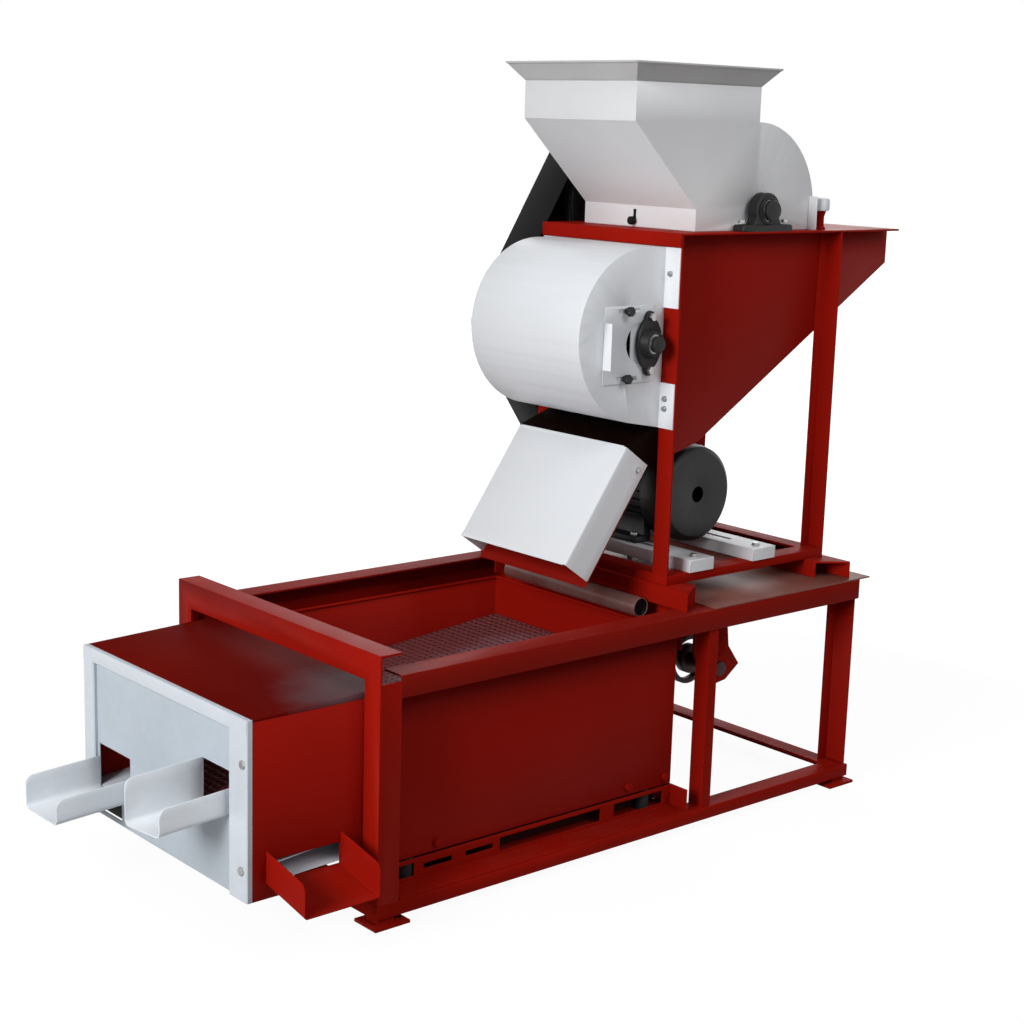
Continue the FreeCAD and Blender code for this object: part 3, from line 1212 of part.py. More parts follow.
def make_end_plate():
    height = "sieve_top+4-sieve_low"
    face = rectangle("-sieve_half", "sieve_low", "2*sieve_half", height)
    low_window = rectangle("low_spout_y+spout_sheet", "low_spout_floor+spout_sheet",
                           "low_spout_width-2*spout_sheet", "82")
    toe_window = rectangle("low_spout_y+34", "sieve_low+8", "low_spout_width-36", "low_spout_floor-sieve_low-14")
    high_window = rectangle("high_spout_y+spout_sheet", "high_spout_floor+spout_sheet",
                            "high_spout_width-2*spout_sheet", "high_far_wall-spout_sheet-2")
    body = prism("end_plate_face", "YZ", [face, low_window, toe_window, high_window], "sieve_start", "sieve_sheet")
    strips = [
        box("end_strip_rear", ("sieve_start-strip_proud", "sieve_half-strip_rear", "sieve_low"),
            ("strip_proud", "strip_rear", height)),
        box("end_strip_front", ("sieve_start-strip_proud", "-sieve_half", "sieve_low"),
            ("strip_proud", "strip_front", height)),
        box("end_strip_top", ("sieve_start-strip_proud", "-sieve_half", "sieve_top+4-strip_top"),
            ("strip_proud", "2*sieve_half", "strip_top")),
    ]
    subpart(join("end_plate_folded", body, *strips), "end_plate")


def spout(name, near, width, floor, near_wall, far_wall):
    """Open channel that falls towards its tip; the tip corners of its walls are rounded."""
    back = "(sieve_start)"
    tip = SPOUT_TIP
    tall = far_wall
    corner = "14"
    outline = [(back, floor), (back, f"{floor}+{tall}"),
               (f"{tip}+{corner}", f"{floor}-spout_fall+{tall}"), (tip, f"{floor}-spout_fall+{tall}-{corner}"),
               (tip, f"{floor}-spout_fall")]
    body = prism(name, "XZ", [outline], near, width)
    inner = [(f"{back}+1", f"{floor}+spout_sheet"), (f"{back}+1", f"{floor}+{tall}+20"),
             (f"{tip}-1", f"{floor}+{tall}+20"), (f"{tip}-1", f"{floor}-spout_fall+spout_sheet")]
    pocket(body, "XZ", [inner], f"{near}+spout_sheet", f"{width}-2*spout_sheet")
    if near_wall != far_wall:
        trim = [(f"{back}+1", f"{floor}+{near_wall}"), (f"{back}+1", f"{floor}+{tall}+20"),
                (f"{tip}-1", f"{floor}+{tall}+20"), (f"{tip}-1", f"{floor}-spout_fall+{near_wall}-4")]
        pocket(body, "XZ", [trim], f"{near}-1", "spout_sheet+2")
    return body


def make_spouts():
    low = spout("low_spout_body", "low_spout_y", "low_spout_width", "low_spout_floor", "spout_wall", "spout_wall")
    subpart(low, "low_spout")
    high = spout("high_spout_body", "high_spout_y", "high_spout_width", "high_spout_floor", "spout_wall",
                 "high_far_wall")
    subpart(high, "high_spout")


def make_side_chute():
    wall, tip = "-sieve_half", "-sieve_half-chute_reach"
    outline = [(wall, "chute_floor"), (wall, "chute_floor+chute_wall"),
               (f"{tip}+14", "chute_floor-chute_fall+chute_wall-4"), (tip, "chute_floor-chute_fall+chute_wall-18"),
               (tip, "chute_floor-chute_fall")]
    body = prism("side_chute_body", "YZ", [outline], "chute_start", "chute_width")
    inner = [(f"{wall}+1", "chute_floor+sieve_sheet"), (f"{wall}+1", "chute_floor+chute_wall+20"),
             (f"{tip}-1", "chute_floor+chute_wall+20"), (f"{tip}-1", "chute_floor-chute_fall+sieve_sheet")]
    pocket(body, "YZ", [inner], "chute_start+sieve_sheet", "chute_width-2*sieve_sheet")
    subpart(body, "side_chute")


def make_sills():
    sills = []
    for side, inward in SIDES:
        wall_y = f"-{inward}*sieve_half"
        shelf_y = f"-{HALF}+2" if inward > 0 else f"{HALF}-2-sill_shelf"
        shelf = box(f"sill_shelf_{side}", ("sill_start", shelf_y, "base_top"), ("sill_length", "sill_shelf", "bar_wall"))
        face = rectangle("sill_start", "base_top+bar_wall", "sill_length", "sill_top-base_top-bar_wall")
        windows = [rectangle("sill_start+26", "base_top+bar_wall+8", "40", "24")]
        for index in range(2):
            windows.append(rectangle(f"sill_start+87+{index}*95", "base_top+bar_wall+16", "64", "10"))
        windows.append(rectangle("sill_start+261", "base_top+bar_wall+6", "250", "26"))
        windows.append(rectangle("sill_start+546", "base_top+bar_wall+6", "130", "26"))
        place = f"{wall_y}" if inward > 0 else f"{wall_y}-sieve_sheet"
        panel = prism(f"sill_panel_{side}", "XZ", [face, *windows], place, "sieve_sheet")
        sills.append(join(f"sill_{side}", shelf, panel))
    subpart(group("sills_group", *sills), "sieve_sills")


def make_mounts():
    mounts = []
    for side, inward in SIDES:
        for end, place in (("left", "sill_start+60"), ("right", "sill_start+sill_length-60")):
            y_text = f"-{inward}*(sieve_half-sieve_sheet-mount_radius-1)"
            low = "base_top+bar_wall"
            mounts.append(rod(f"rubber_{end}_{side}", "z", (place, y_text, low), "mount_radius",
                              f"sieve_low-mount_gap-({low})"))
    subpart(group("rubber_mounts_group", *mounts), "rubber_mounts")


# Fasteners

def bolt(name, axis, place):
    """Hexagon bolt head that rests at the place."""
    return hexagon(f"{name}_head", axis, place, "bolt_head", "head_height")


def make_frame_bolts():
    bolts = []
    for rail, sign in (("left", -1), ("right", 1)):
        for end, y_text in (("front", "-50"), ("rear", "60")):
            place = (f"motor_x+{sign}*motor_foot_span/2", y_text,
                     f"{TOWER_BASE}+rail_height+motor_foot_sheet")
            bolts.append(bolt(f"motor_bolt_{rail}_{end}", "z", place))
        for end, y_text in (("front", "sill_flange/2-tower_front"), ("rear", "tower_back-sill_flange/2")):
            place = (f"motor_x+{sign}*motor_foot_span/2", y_text, f"{TOWER_BASE}+rail_height")
            bolts.append(bolt(f"rail_bolt_{rail}_{end}", "z", place))
    for side, y_text in (("front", "-tower_front+block_width/2"), ("rear", f"{CORE_BACK}+block_width/2")):
        for sign in (-1, 1):
            place = (f"drum_x+{sign}*(block_length/2-22)", y_text, "tower_top+block_base")
            bolts.append(bolt(f"block_bolt_{side}_{'low' if sign < 0 else 'high'}", "z", place))
    subpart(group("frame_bolts_group", *bolts), "frame_bolts")


def make_sieve_bolts():
    bolts = []
    for index, x_text in enumerate(("164", "630", "729")):
        place = (x_text, "-sieve_half-head_height", "104")
        bolts.append(bolt(f"sieve_bolt_{index}", "y", place))
    for index, (y_text, z_text) in enumerate((("-260", "324"), ("-256", "141"))):
        place = ("sieve_start-strip_proud-head_height", y_text, z_text)
        bolts.append(bolt(f"end_bolt_{index}", "x", place))
    subpart(group("sieve_bolts_group", *bolts), "sieve_bolts")


MAKERS = (
    make_top_rails, make_base_frame, make_feet, make_portal, make_end_legs, make_middle_posts, make_deck,
    make_cross_members, make_tower_base, make_uprights, make_top_plate, make_duct, make_blower_housing,
    make_fan, make_fan_shaft, make_flange_bearings, make_shutter, make_knobs, make_chute_cover, make_chute,
    make_nose, make_motor, make_motor_cowl, make_motor_shaft, make_motor_rails, make_hopper_rim, make_hopper,
    make_feed_gate, make_drum, make_drum_shaft, make_pillow_blocks, make_concave, make_pulleys, make_belts,
    make_guard, make_shaker, make_cheeks, make_rods, make_sieve_walls, make_sieve_cover, make_decks,
    make_end_plate, make_spouts, make_side_chute, make_sills, make_mounts, make_frame_bolts, make_sieve_bolts,
)

for make in MAKERS:
    make()
document.recompute()

for item in document.Objects:
    if "Invalid" in item.State or "Error" in item.State:
        raise RuntimeError(f"{item.Name} failed: {item.State}")
for feature in POCKETS:
    if feature.Shape.Volume >= feature.BaseFeature.Shape.Volume - 1e-6:
        raise RuntimeError(f"{feature.Name} takes nothing away")
for item in SUBPARTS:
    if item.Shape.isNull() or not item.Shape.isValid():
        raise RuntimeError(f"{item.Label} has no valid shape")

os.makedirs("parts", exist_ok=True)
for item in SUBPARTS:
    item.Shape.exportStep(f"parts/{item.Label}.step")
    print(item.Label, len(item.Shape.Solids), round(item.Shape.Volume / 1000, 1))
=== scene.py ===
"""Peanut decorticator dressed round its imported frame: camera, light, finishes and fine pieces."""
import json
import logging
import math
from dataclasses import dataclass
from enum import Enum
from typing import Sequence

import bmesh
import bpy
import numpy as np
from mathutils import Matrix, Vector


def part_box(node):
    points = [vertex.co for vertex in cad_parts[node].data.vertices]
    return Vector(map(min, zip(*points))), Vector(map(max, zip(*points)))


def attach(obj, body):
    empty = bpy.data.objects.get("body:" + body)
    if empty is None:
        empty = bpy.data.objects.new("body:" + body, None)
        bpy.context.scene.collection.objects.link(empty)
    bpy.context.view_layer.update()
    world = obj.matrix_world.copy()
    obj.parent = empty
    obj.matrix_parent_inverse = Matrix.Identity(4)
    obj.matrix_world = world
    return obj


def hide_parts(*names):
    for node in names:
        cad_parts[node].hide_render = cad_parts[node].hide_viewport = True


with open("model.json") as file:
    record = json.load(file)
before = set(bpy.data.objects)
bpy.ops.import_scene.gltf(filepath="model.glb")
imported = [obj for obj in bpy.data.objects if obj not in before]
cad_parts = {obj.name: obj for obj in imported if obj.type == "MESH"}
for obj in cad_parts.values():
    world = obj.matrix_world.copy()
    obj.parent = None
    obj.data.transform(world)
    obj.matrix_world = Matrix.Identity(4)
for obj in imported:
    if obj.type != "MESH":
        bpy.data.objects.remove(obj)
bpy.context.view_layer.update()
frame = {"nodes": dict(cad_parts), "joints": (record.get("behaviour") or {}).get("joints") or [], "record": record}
LOG = logging.getLogger("decorticator")

PHOTO_PIXELS = 1024
FOCAL_PIXELS = 1862.0
CAMERA_PLACE = (-2.2813, -2.6475, 1.3399)
CAMERA_YAW = 40.90
CAMERA_PITCH = 11.77
CAMERA_ROLL = -1.71
SENSOR = 36.0
MILLI = 0.001
JOINTS = {joint["name"]: joint for joint in frame["joints"]}
BASE_LOW, BASE_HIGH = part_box("base_frame")
FRAME_ZERO = np.array([BASE_LOW.x, (BASE_LOW.y + BASE_HIGH.y) / 2, 0.0])


class Slot(str, Enum):
    """Material slots of the record."""

    RED = "red_paint"
    WHITE = "white_paint"
    HOPPER = "hopper_paint"
    BLACK = "black_paint"
    IRON = "bearing_iron"
    STEEL = "bare_steel"
    ZINC = "zinc_sheet"
    BOLT = "zinc_bolt"
    BELT = "belt_rubber"
    RUBBER = "mount_rubber"
    KNOB = "knob_plastic"


def new_group(name: str, inputs: Sequence[tuple], outputs: Sequence[tuple]) -> bpy.types.NodeTree:
    """Makes a shader group with its sockets.

    Args:
        name: Name of the group.
        inputs: Rows of socket name, socket type and default.
        outputs: Rows of socket name and socket type.

    Returns:
        The empty group.
    """
    tree = bpy.data.node_groups.new(name, "ShaderNodeTree")
    for label, kind, default in inputs:
        socket = tree.interface.new_socket(name=label, in_out="INPUT", socket_type=kind)
        socket.default_value = default
    for label, kind in outputs:
        tree.interface.new_socket(name=label, in_out="OUTPUT", socket_type=kind)
    return tree


class Wiring:
    """Short way to add nodes and links to a tree."""

    def __init__(self, tree: bpy.types.NodeTree) -> None:
        """Keeps the tree."""
        self.tree = tree

    def add(self, kind: str, **settings: object) -> bpy.types.Node:
        """Adds a node and sets its properties.

        Args:
            kind: Node type without its prefix.
            **settings: Properties of the node.

        Returns:
            The node.
        """
        node = self.tree.nodes.new(f"ShaderNode{kind}")
        for key, value in settings.items():
            setattr(node, key, value)
        return node

    def join(self, source: bpy.types.NodeSocket, target: bpy.types.NodeSocket) -> None:
        """Links two sockets."""
        self.tree.links.new(source, target)

    def ends(self) -> tuple:
        """Adds the group's input and output nodes and returns them."""
        return self.tree.nodes.new("NodeGroupInput"), self.tree.nodes.new("NodeGroupOutput")


def make_skin_group() -> bpy.types.NodeTree:
    """Group that mottles a colour, spreads its roughness and gives a fine grain.

    Returns:
        The group, which every finish places.
    """
    tree = new_group(
        "skin",
        [
            ("Colour", "NodeSocketColor", (0.5, 0.5, 0.5, 1.0)),
            ("Second", "NodeSocketColor", (0.4, 0.4, 0.4, 1.0)),
            ("Mottle Scale", "NodeSocketFloat", 6.0),
            ("Mottle", "NodeSocketFloat", 0.5),
            ("Roughness", "NodeSocketFloat", 0.4),
            ("Spread", "NodeSocketFloat", 0.1),
            ("Grain Scale", "NodeSocketFloat", 400.0),
        ],
        [("Colour", "NodeSocketColor"), ("Roughness", "NodeSocketFloat"), ("Height", "NodeSocketFloat")],
    )
    wiring = Wiring(tree)
    start, end = wiring.ends()
    place = wiring.add("TexCoord")
    cloud = wiring.add("TexNoise")
    cloud.inputs["Detail"].default_value = 5.0
    wiring.join(place.outputs["Object"], cloud.inputs["Vector"])
    wiring.join(start.outputs["Mottle Scale"], cloud.inputs["Scale"])
    ramp = wiring.add("MapRange")
    ramp.inputs["From Min"].default_value = 0.35
    ramp.inputs["From Max"].default_value = 0.65
    wiring.join(cloud.outputs["Fac"], ramp.inputs["Value"])
    strength = wiring.add("Math", operation="MULTIPLY")
    wiring.join(ramp.outputs["Result"], strength.inputs[0])
    wiring.join(start.outputs["Mottle"], strength.inputs[1])
    mix = wiring.add("Mix", data_type="RGBA")
    wiring.join(strength.outputs[0], mix.inputs["Factor"])
    wiring.join(start.outputs["Colour"], mix.inputs[6])
    wiring.join(start.outputs["Second"], mix.inputs[7])
    wiring.join(mix.outputs[2], end.inputs["Colour"])
    rough = wiring.add("Math", operation="MULTIPLY_ADD")
    wiring.join(ramp.outputs["Result"], rough.inputs[0])
    wiring.join(start.outputs["Spread"], rough.inputs[1])
    wiring.join(start.outputs["Roughness"], rough.inputs[2])
    wiring.join(rough.outputs[0], end.inputs["Roughness"])
    grain = wiring.add("TexNoise")
    grain.inputs["Detail"].default_value = 3.0
    wiring.join(place.outputs["Object"], grain.inputs["Vector"])
    wiring.join(start.outputs["Grain Scale"], grain.inputs["Scale"])
    wiring.join(grain.outputs["Fac"], end.inputs["Height"])
    return tree


def make_dust_group() -> bpy.types.NodeTree:
    """Group that lays a thin dust on faces that look up.

    Returns:
        The group.
    """
    tree = new_group(
        "dust",
        [
            ("Colour", "NodeSocketColor", (0.5, 0.5, 0.5, 1.0)),
            ("Roughness", "NodeSocketFloat", 0.4),
            ("Dust", "NodeSocketColor", (0.5, 0.42, 0.36, 1.0)),
            ("Amount", "NodeSocketFloat", 0.2),
        ],
        [("Colour", "NodeSocketColor"), ("Roughness", "NodeSocketFloat")],
    )
    wiring = Wiring(tree)
    start, end = wiring.ends()
    shape = wiring.add("NewGeometry")
    split = wiring.add("SeparateXYZ")
    wiring.join(shape.outputs["Normal"], split.inputs[0])
    up = wiring.add("MapRange")
    up.inputs["From Min"].default_value = 0.6
    up.inputs["From Max"].default_value = 1.0
    wiring.join(split.outputs["Z"], up.inputs["Value"])
    place = wiring.add("TexCoord")
    cloud = wiring.add("TexNoise")
    cloud.inputs["Scale"].default_value = 14.0
    cloud.inputs["Detail"].default_value = 6.0
    wiring.join(place.outputs["Object"], cloud.inputs["Vector"])
    patch = wiring.add("MapRange")
    patch.inputs["From Min"].default_value = 0.4
    patch.inputs["From Max"].default_value = 0.7
    wiring.join(cloud.outputs["Fac"], patch.inputs["Value"])
    both = wiring.add("Math", operation="MULTIPLY")
    wiring.join(up.outputs["Result"], both.inputs[0])
    wiring.join(patch.outputs["Result"], both.inputs[1])
    amount = wiring.add("Math", operation="MULTIPLY")
    wiring.join(both.outputs[0], amount.inputs[0])
    wiring.join(start.outputs["Amount"], amount.inputs[1])
    mix = wiring.add("Mix", data_type="RGBA")
    wiring.join(amount.outputs[0], mix.inputs["Factor"])
    wiring.join(start.outputs["Colour"], mix.inputs[6])
    wiring.join(start.outputs["Dust"], mix.inputs[7])
    wiring.join(mix.outputs[2], end.inputs["Colour"])
    rough = wiring.add("Math", operation="MULTIPLY_ADD")
    rough.inputs[1].default_value = 0.5
    wiring.join(amount.outputs[0], rough.inputs[0])
    wiring.join(start.outputs["Roughness"], rough.inputs[2])
    wiring.join(rough.outputs[0], end.inputs["Roughness"])
    return tree


def make_spangle_group() -> bpy.types.NodeTree:
    """Group of crystal flakes, each a little lighter or darker, as on zinc-dipped sheet.

    Returns:
        The group.
    """
    tree = new_group(
        "spangle",
        [
            ("Colour", "NodeSocketColor", (0.6, 0.6, 0.6, 1.0)),
            ("Flake Scale", "NodeSocketFloat", 60.0),
            ("Contrast", "NodeSocketFloat", 0.2),
        ],
        [("Colour", "NodeSocketColor"), ("Flake", "NodeSocketFloat")],
    )
    wiring = Wiring(tree)
    start, end = wiring.ends()
    place = wiring.add("TexCoord")
    cells = wiring.add("TexVoronoi")
    wiring.join(place.outputs["Object"], cells.inputs["Vector"])
    wiring.join(start.outputs["Flake Scale"], cells.inputs["Scale"])
    split = wiring.add("SeparateColor")
    wiring.join(cells.outputs["Color"], split.inputs[0])
    shade = wiring.add("Math", operation="SUBTRACT")
    shade.inputs[1].default_value = 0.5
    wiring.join(split.outputs[0], shade.inputs[0])
    gain = wiring.add("Math", operation="MULTIPLY_ADD")
    gain.inputs[2].default_value = 1.0
    wiring.join(shade.outputs[0], gain.inputs[0])
    wiring.join(start.outputs["Contrast"], gain.inputs[1])
    tint = wiring.add("VectorMath", operation="SCALE")
    wiring.join(start.outputs["Colour"], tint.inputs[0])
    wiring.join(gain.outputs[0], tint.inputs["Scale"])
    wiring.join(tint.outputs[0], end.inputs["Colour"])
    wiring.join(split.outputs[1], end.inputs["Flake"])
    return tree


def make_painted_shade_group() -> bpy.types.NodeTree:
    """Group that paints shade: it darkens a colour towards black with height, as under the blower where little light
    falls.

    Returns:
        The group.
    """
    tree = new_group(
        "painted_shade",
        [
            ("Colour", "NodeSocketColor", (0.5, 0.5, 0.5, 1.0)),
            ("Lit Below", "NodeSocketFloat", 0.6),
            ("Black Above", "NodeSocketFloat", 0.7),
        ],
        [("Colour", "NodeSocketColor")],
    )
    wiring = Wiring(tree)
    start, end = wiring.ends()
    place = wiring.add("TexCoord")
    split = wiring.add("SeparateXYZ")
    wiring.join(place.outputs["Object"], split.inputs[0])
    rise = wiring.add("MapRange")
    wiring.join(split.outputs["Z"], rise.inputs["Value"])
    wiring.join(start.outputs["Lit Below"], rise.inputs["From Min"])
    wiring.join(start.outputs["Black Above"], rise.inputs["From Max"])
    mix = wiring.add("Mix", data_type="RGBA")
    # painted shade: the near-black that the colour turns to high up
    mix.inputs[7].default_value = (0.004, 0.0008, 0.0006, 1.0)
    wiring.join(rise.outputs["Result"], mix.inputs["Factor"])
    wiring.join(start.outputs["Colour"], mix.inputs[6])
    wiring.join(mix.outputs[2], end.inputs["Colour"])
    return tree


def make_painted_reflection_group() -> bpy.types.NodeTree:
    """Group that paints a reflection: a grey cloud with a ragged edge mixed into a colour round a place, for pale
    surroundings seen in glossy paint.

    Returns:
        The group.
    """
    tree = new_group(
        "painted_reflection",
        [
            ("Colour", "NodeSocketColor", (0.5, 0.5, 0.5, 1.0)),
            # grey-purple tint of the painted reflection
            ("Tint", "NodeSocketColor", (0.125, 0.066, 0.074, 1.0)),
            ("Centre", "NodeSocketVector", (0.0, 0.0, 0.0)),
            ("Size", "NodeSocketVector", (1.0, 1.0, 1.0)),
        ],
        [("Colour", "NodeSocketColor")],
    )
    wiring = Wiring(tree)
    start, end = wiring.ends()
    place = wiring.add("TexCoord")
    away = wiring.add("VectorMath", operation="SUBTRACT")
    wiring.join(place.outputs["Object"], away.inputs[0])
    wiring.join(start.outputs["Centre"], away.inputs[1])
    share = wiring.add("VectorMath", operation="DIVIDE")
    wiring.join(away.outputs[0], share.inputs[0])
    wiring.join(start.outputs["Size"], share.inputs[1])
    reach = wiring.add("VectorMath", operation="LENGTH")
    wiring.join(share.outputs[0], reach.inputs[0])
    cloud = wiring.add("TexNoise")
    cloud.inputs["Scale"].default_value = 9.0
    cloud.inputs["Detail"].default_value = 4.0
    wiring.join(place.outputs["Object"], cloud.inputs["Vector"])
    ragged = wiring.add("Math", operation="ADD")
    wiring.join(reach.outputs["Value"], ragged.inputs[0])
    wiring.join(cloud.outputs["Fac"], ragged.inputs[1])
    fade = wiring.add("MapRange", interpolation_type="SMOOTHSTEP")
    fade.inputs["From Min"].default_value = 1.55
    fade.inputs["From Max"].default_value = 0.75
    wiring.join(ragged.outputs[0], fade.inputs["Value"])
    mix = wiring.add("Mix", data_type="RGBA")
    wiring.join(fade.outputs["Result"], mix.inputs["Factor"])
    wiring.join(start.outputs["Colour"], mix.inputs[6])
    wiring.join(start.outputs["Tint"], mix.inputs[7])
    wiring.join(mix.outputs[2], end.inputs["Colour"])
    return tree


@dataclass(frozen=True)
class Finish:
    """One surface finish, with its grain, mottle and dust, and where set a painted shade that darkens with height and a
    painted reflection cloud.
    """

    name: str
    colour: tuple
    second: tuple
    roughness: float
    spread: float = 0.08
    metallic: float = 0.0
    coat: float = 0.0
    gloss: float = 0.5
    mottle: float = 0.5
    mottle_scale: float = 6.0
    grain_scale: float = 420.0
    grain_depth: float = 0.00004
    dust: float = 0.0
    flakes: float = 0.0
    # painted_shade: heights between which the colour turns near-black as painted shade; painted_reflection: centre,
    # size and tint of a painted reflection cloud
    painted_shade: tuple = ()
    painted_reflection: tuple = ()
    painted_reflection_tint: tuple = (0.125, 0.066, 0.074)

    def build(self, kit: "Kit") -> bpy.types.Material:
        """Makes the material.

        Args:
            kit: The shared node groups.

        Returns:
            The material.
        """
        material = bpy.data.materials.new(self.name)
        material.use_nodes = True
        wiring = Wiring(material.node_tree)
        shader = material.node_tree.nodes["Principled BSDF"]
        shader.inputs["Metallic"].default_value = self.metallic
        shader.inputs["Coat Weight"].default_value = self.coat
        shader.inputs["Coat Roughness"].default_value = 0.12
        shader.inputs["Specular IOR Level"].default_value = self.gloss
        skin = wiring.add("Group")
        skin.node_tree = kit.skin
        skin.inputs["Colour"].default_value = (*self.colour, 1.0)
        skin.inputs["Second"].default_value = (*self.second, 1.0)
        skin.inputs["Mottle"].default_value = self.mottle
        skin.inputs["Mottle Scale"].default_value = self.mottle_scale
        skin.inputs["Roughness"].default_value = self.roughness
        skin.inputs["Spread"].default_value = self.spread
        skin.inputs["Grain Scale"].default_value = self.grain_scale
        colour, roughness = skin.outputs["Colour"], skin.outputs["Roughness"]
        if self.flakes:
            spangle = wiring.add("Group")
            spangle.node_tree = kit.spangle
            spangle.inputs["Contrast"].default_value = self.flakes
            wiring.join(colour, spangle.inputs["Colour"])
            colour = spangle.outputs["Colour"]
        # painted shade: the colour turns near-black between two heights
        if self.painted_shade:
            painted_shade = wiring.add("Group")
            painted_shade.node_tree = kit.painted_shade
            painted_shade.inputs["Lit Below"].default_value = self.painted_shade[0]
            painted_shade.inputs["Black Above"].default_value = self.painted_shade[1]
            wiring.join(colour, painted_shade.inputs["Colour"])
            colour = painted_shade.outputs["Colour"]
        # painted reflection: a grey cloud round a place in the colour
        if self.painted_reflection:
            painted_reflection = wiring.add("Group")
            painted_reflection.node_tree = kit.painted_reflection
            painted_reflection.inputs["Centre"].default_value = self.painted_reflection[0]
            painted_reflection.inputs["Size"].default_value = self.painted_reflection[1]
            painted_reflection.inputs["Tint"].default_value = (*self.painted_reflection_tint, 1.0)
            wiring.join(colour, painted_reflection.inputs["Colour"])
            colour = painted_reflection.outputs["Colour"]
        if self.dust:
            dust = wiring.add("Group")
            dust.node_tree = kit.dust
            dust.inputs["Amount"].default_value = self.dust
            wiring.join(colour, dust.inputs["Colour"])
            wiring.join(roughness, dust.inputs["Roughness"])
            colour, roughness = dust.outputs["Colour"], dust.outputs["Roughness"]
        wiring.join(colour, shader.inputs["Base Color"])
        wiring.join(roughness, shader.inputs["Roughness"])
        bump = wiring.add("Bump")
        bump.inputs["Distance"].default_value = self.grain_depth
        wiring.join(skin.outputs["Height"], bump.inputs["Height"])
        wiring.join(bump.outputs["Normal"], shader.inputs["Normal"])
        return material


FINISHES = {
    Slot.RED: Finish("red_gloss", (0.30, 0.0075, 0.003), (0.23, 0.006, 0.003), 0.42, gloss=0.02, dust=0.015,
                     mottle=0.35, grain_depth=0.00006),
    Slot.WHITE: Finish("white_sheet", (0.75, 0.77, 0.80), (0.70, 0.72, 0.75), 0.42, gloss=0.3, mottle=0.4),
    Slot.HOPPER: Finish("hopper_grey", (0.73, 0.735, 0.75), (0.66, 0.665, 0.68), 0.45, gloss=0.3, mottle=0.4),
    Slot.BLACK: Finish("black_enamel", (0.004, 0.004, 0.005), (0.008, 0.008, 0.009), 0.45, gloss=0.08, mottle=0.6),
    Slot.IRON: Finish("black_casting", (0.008, 0.008, 0.009), (0.014, 0.014, 0.015), 0.40, spread=0.15, gloss=0.25,
                      grain_scale=260.0, grain_depth=0.0004),
    Slot.STEEL: Finish("turned_steel", (0.30, 0.30, 0.31), (0.22, 0.22, 0.23), 0.34, metallic=1.0, spread=0.15),
    Slot.ZINC: Finish("zinc_sheet", (0.62, 0.66, 0.71), (0.55, 0.59, 0.64), 0.34, metallic=0.1, gloss=0.4, flakes=0.03),
    Slot.BOLT: Finish("zinc_bolt", (0.42, 0.42, 0.42), (0.33, 0.32, 0.30), 0.36, metallic=1.0),
    Slot.BELT: Finish("belt", (0.014, 0.014, 0.015), (0.025, 0.024, 0.023), 0.62, gloss=0.2),
    Slot.RUBBER: Finish("rubber", (0.016, 0.016, 0.017), (0.026, 0.025, 0.024), 0.7, gloss=0.2),
    Slot.KNOB: Finish("knob", (0.008, 0.008, 0.009), (0.014, 0.014, 0.015), 0.4, gloss=0.3, grain_depth=0.0002),
}


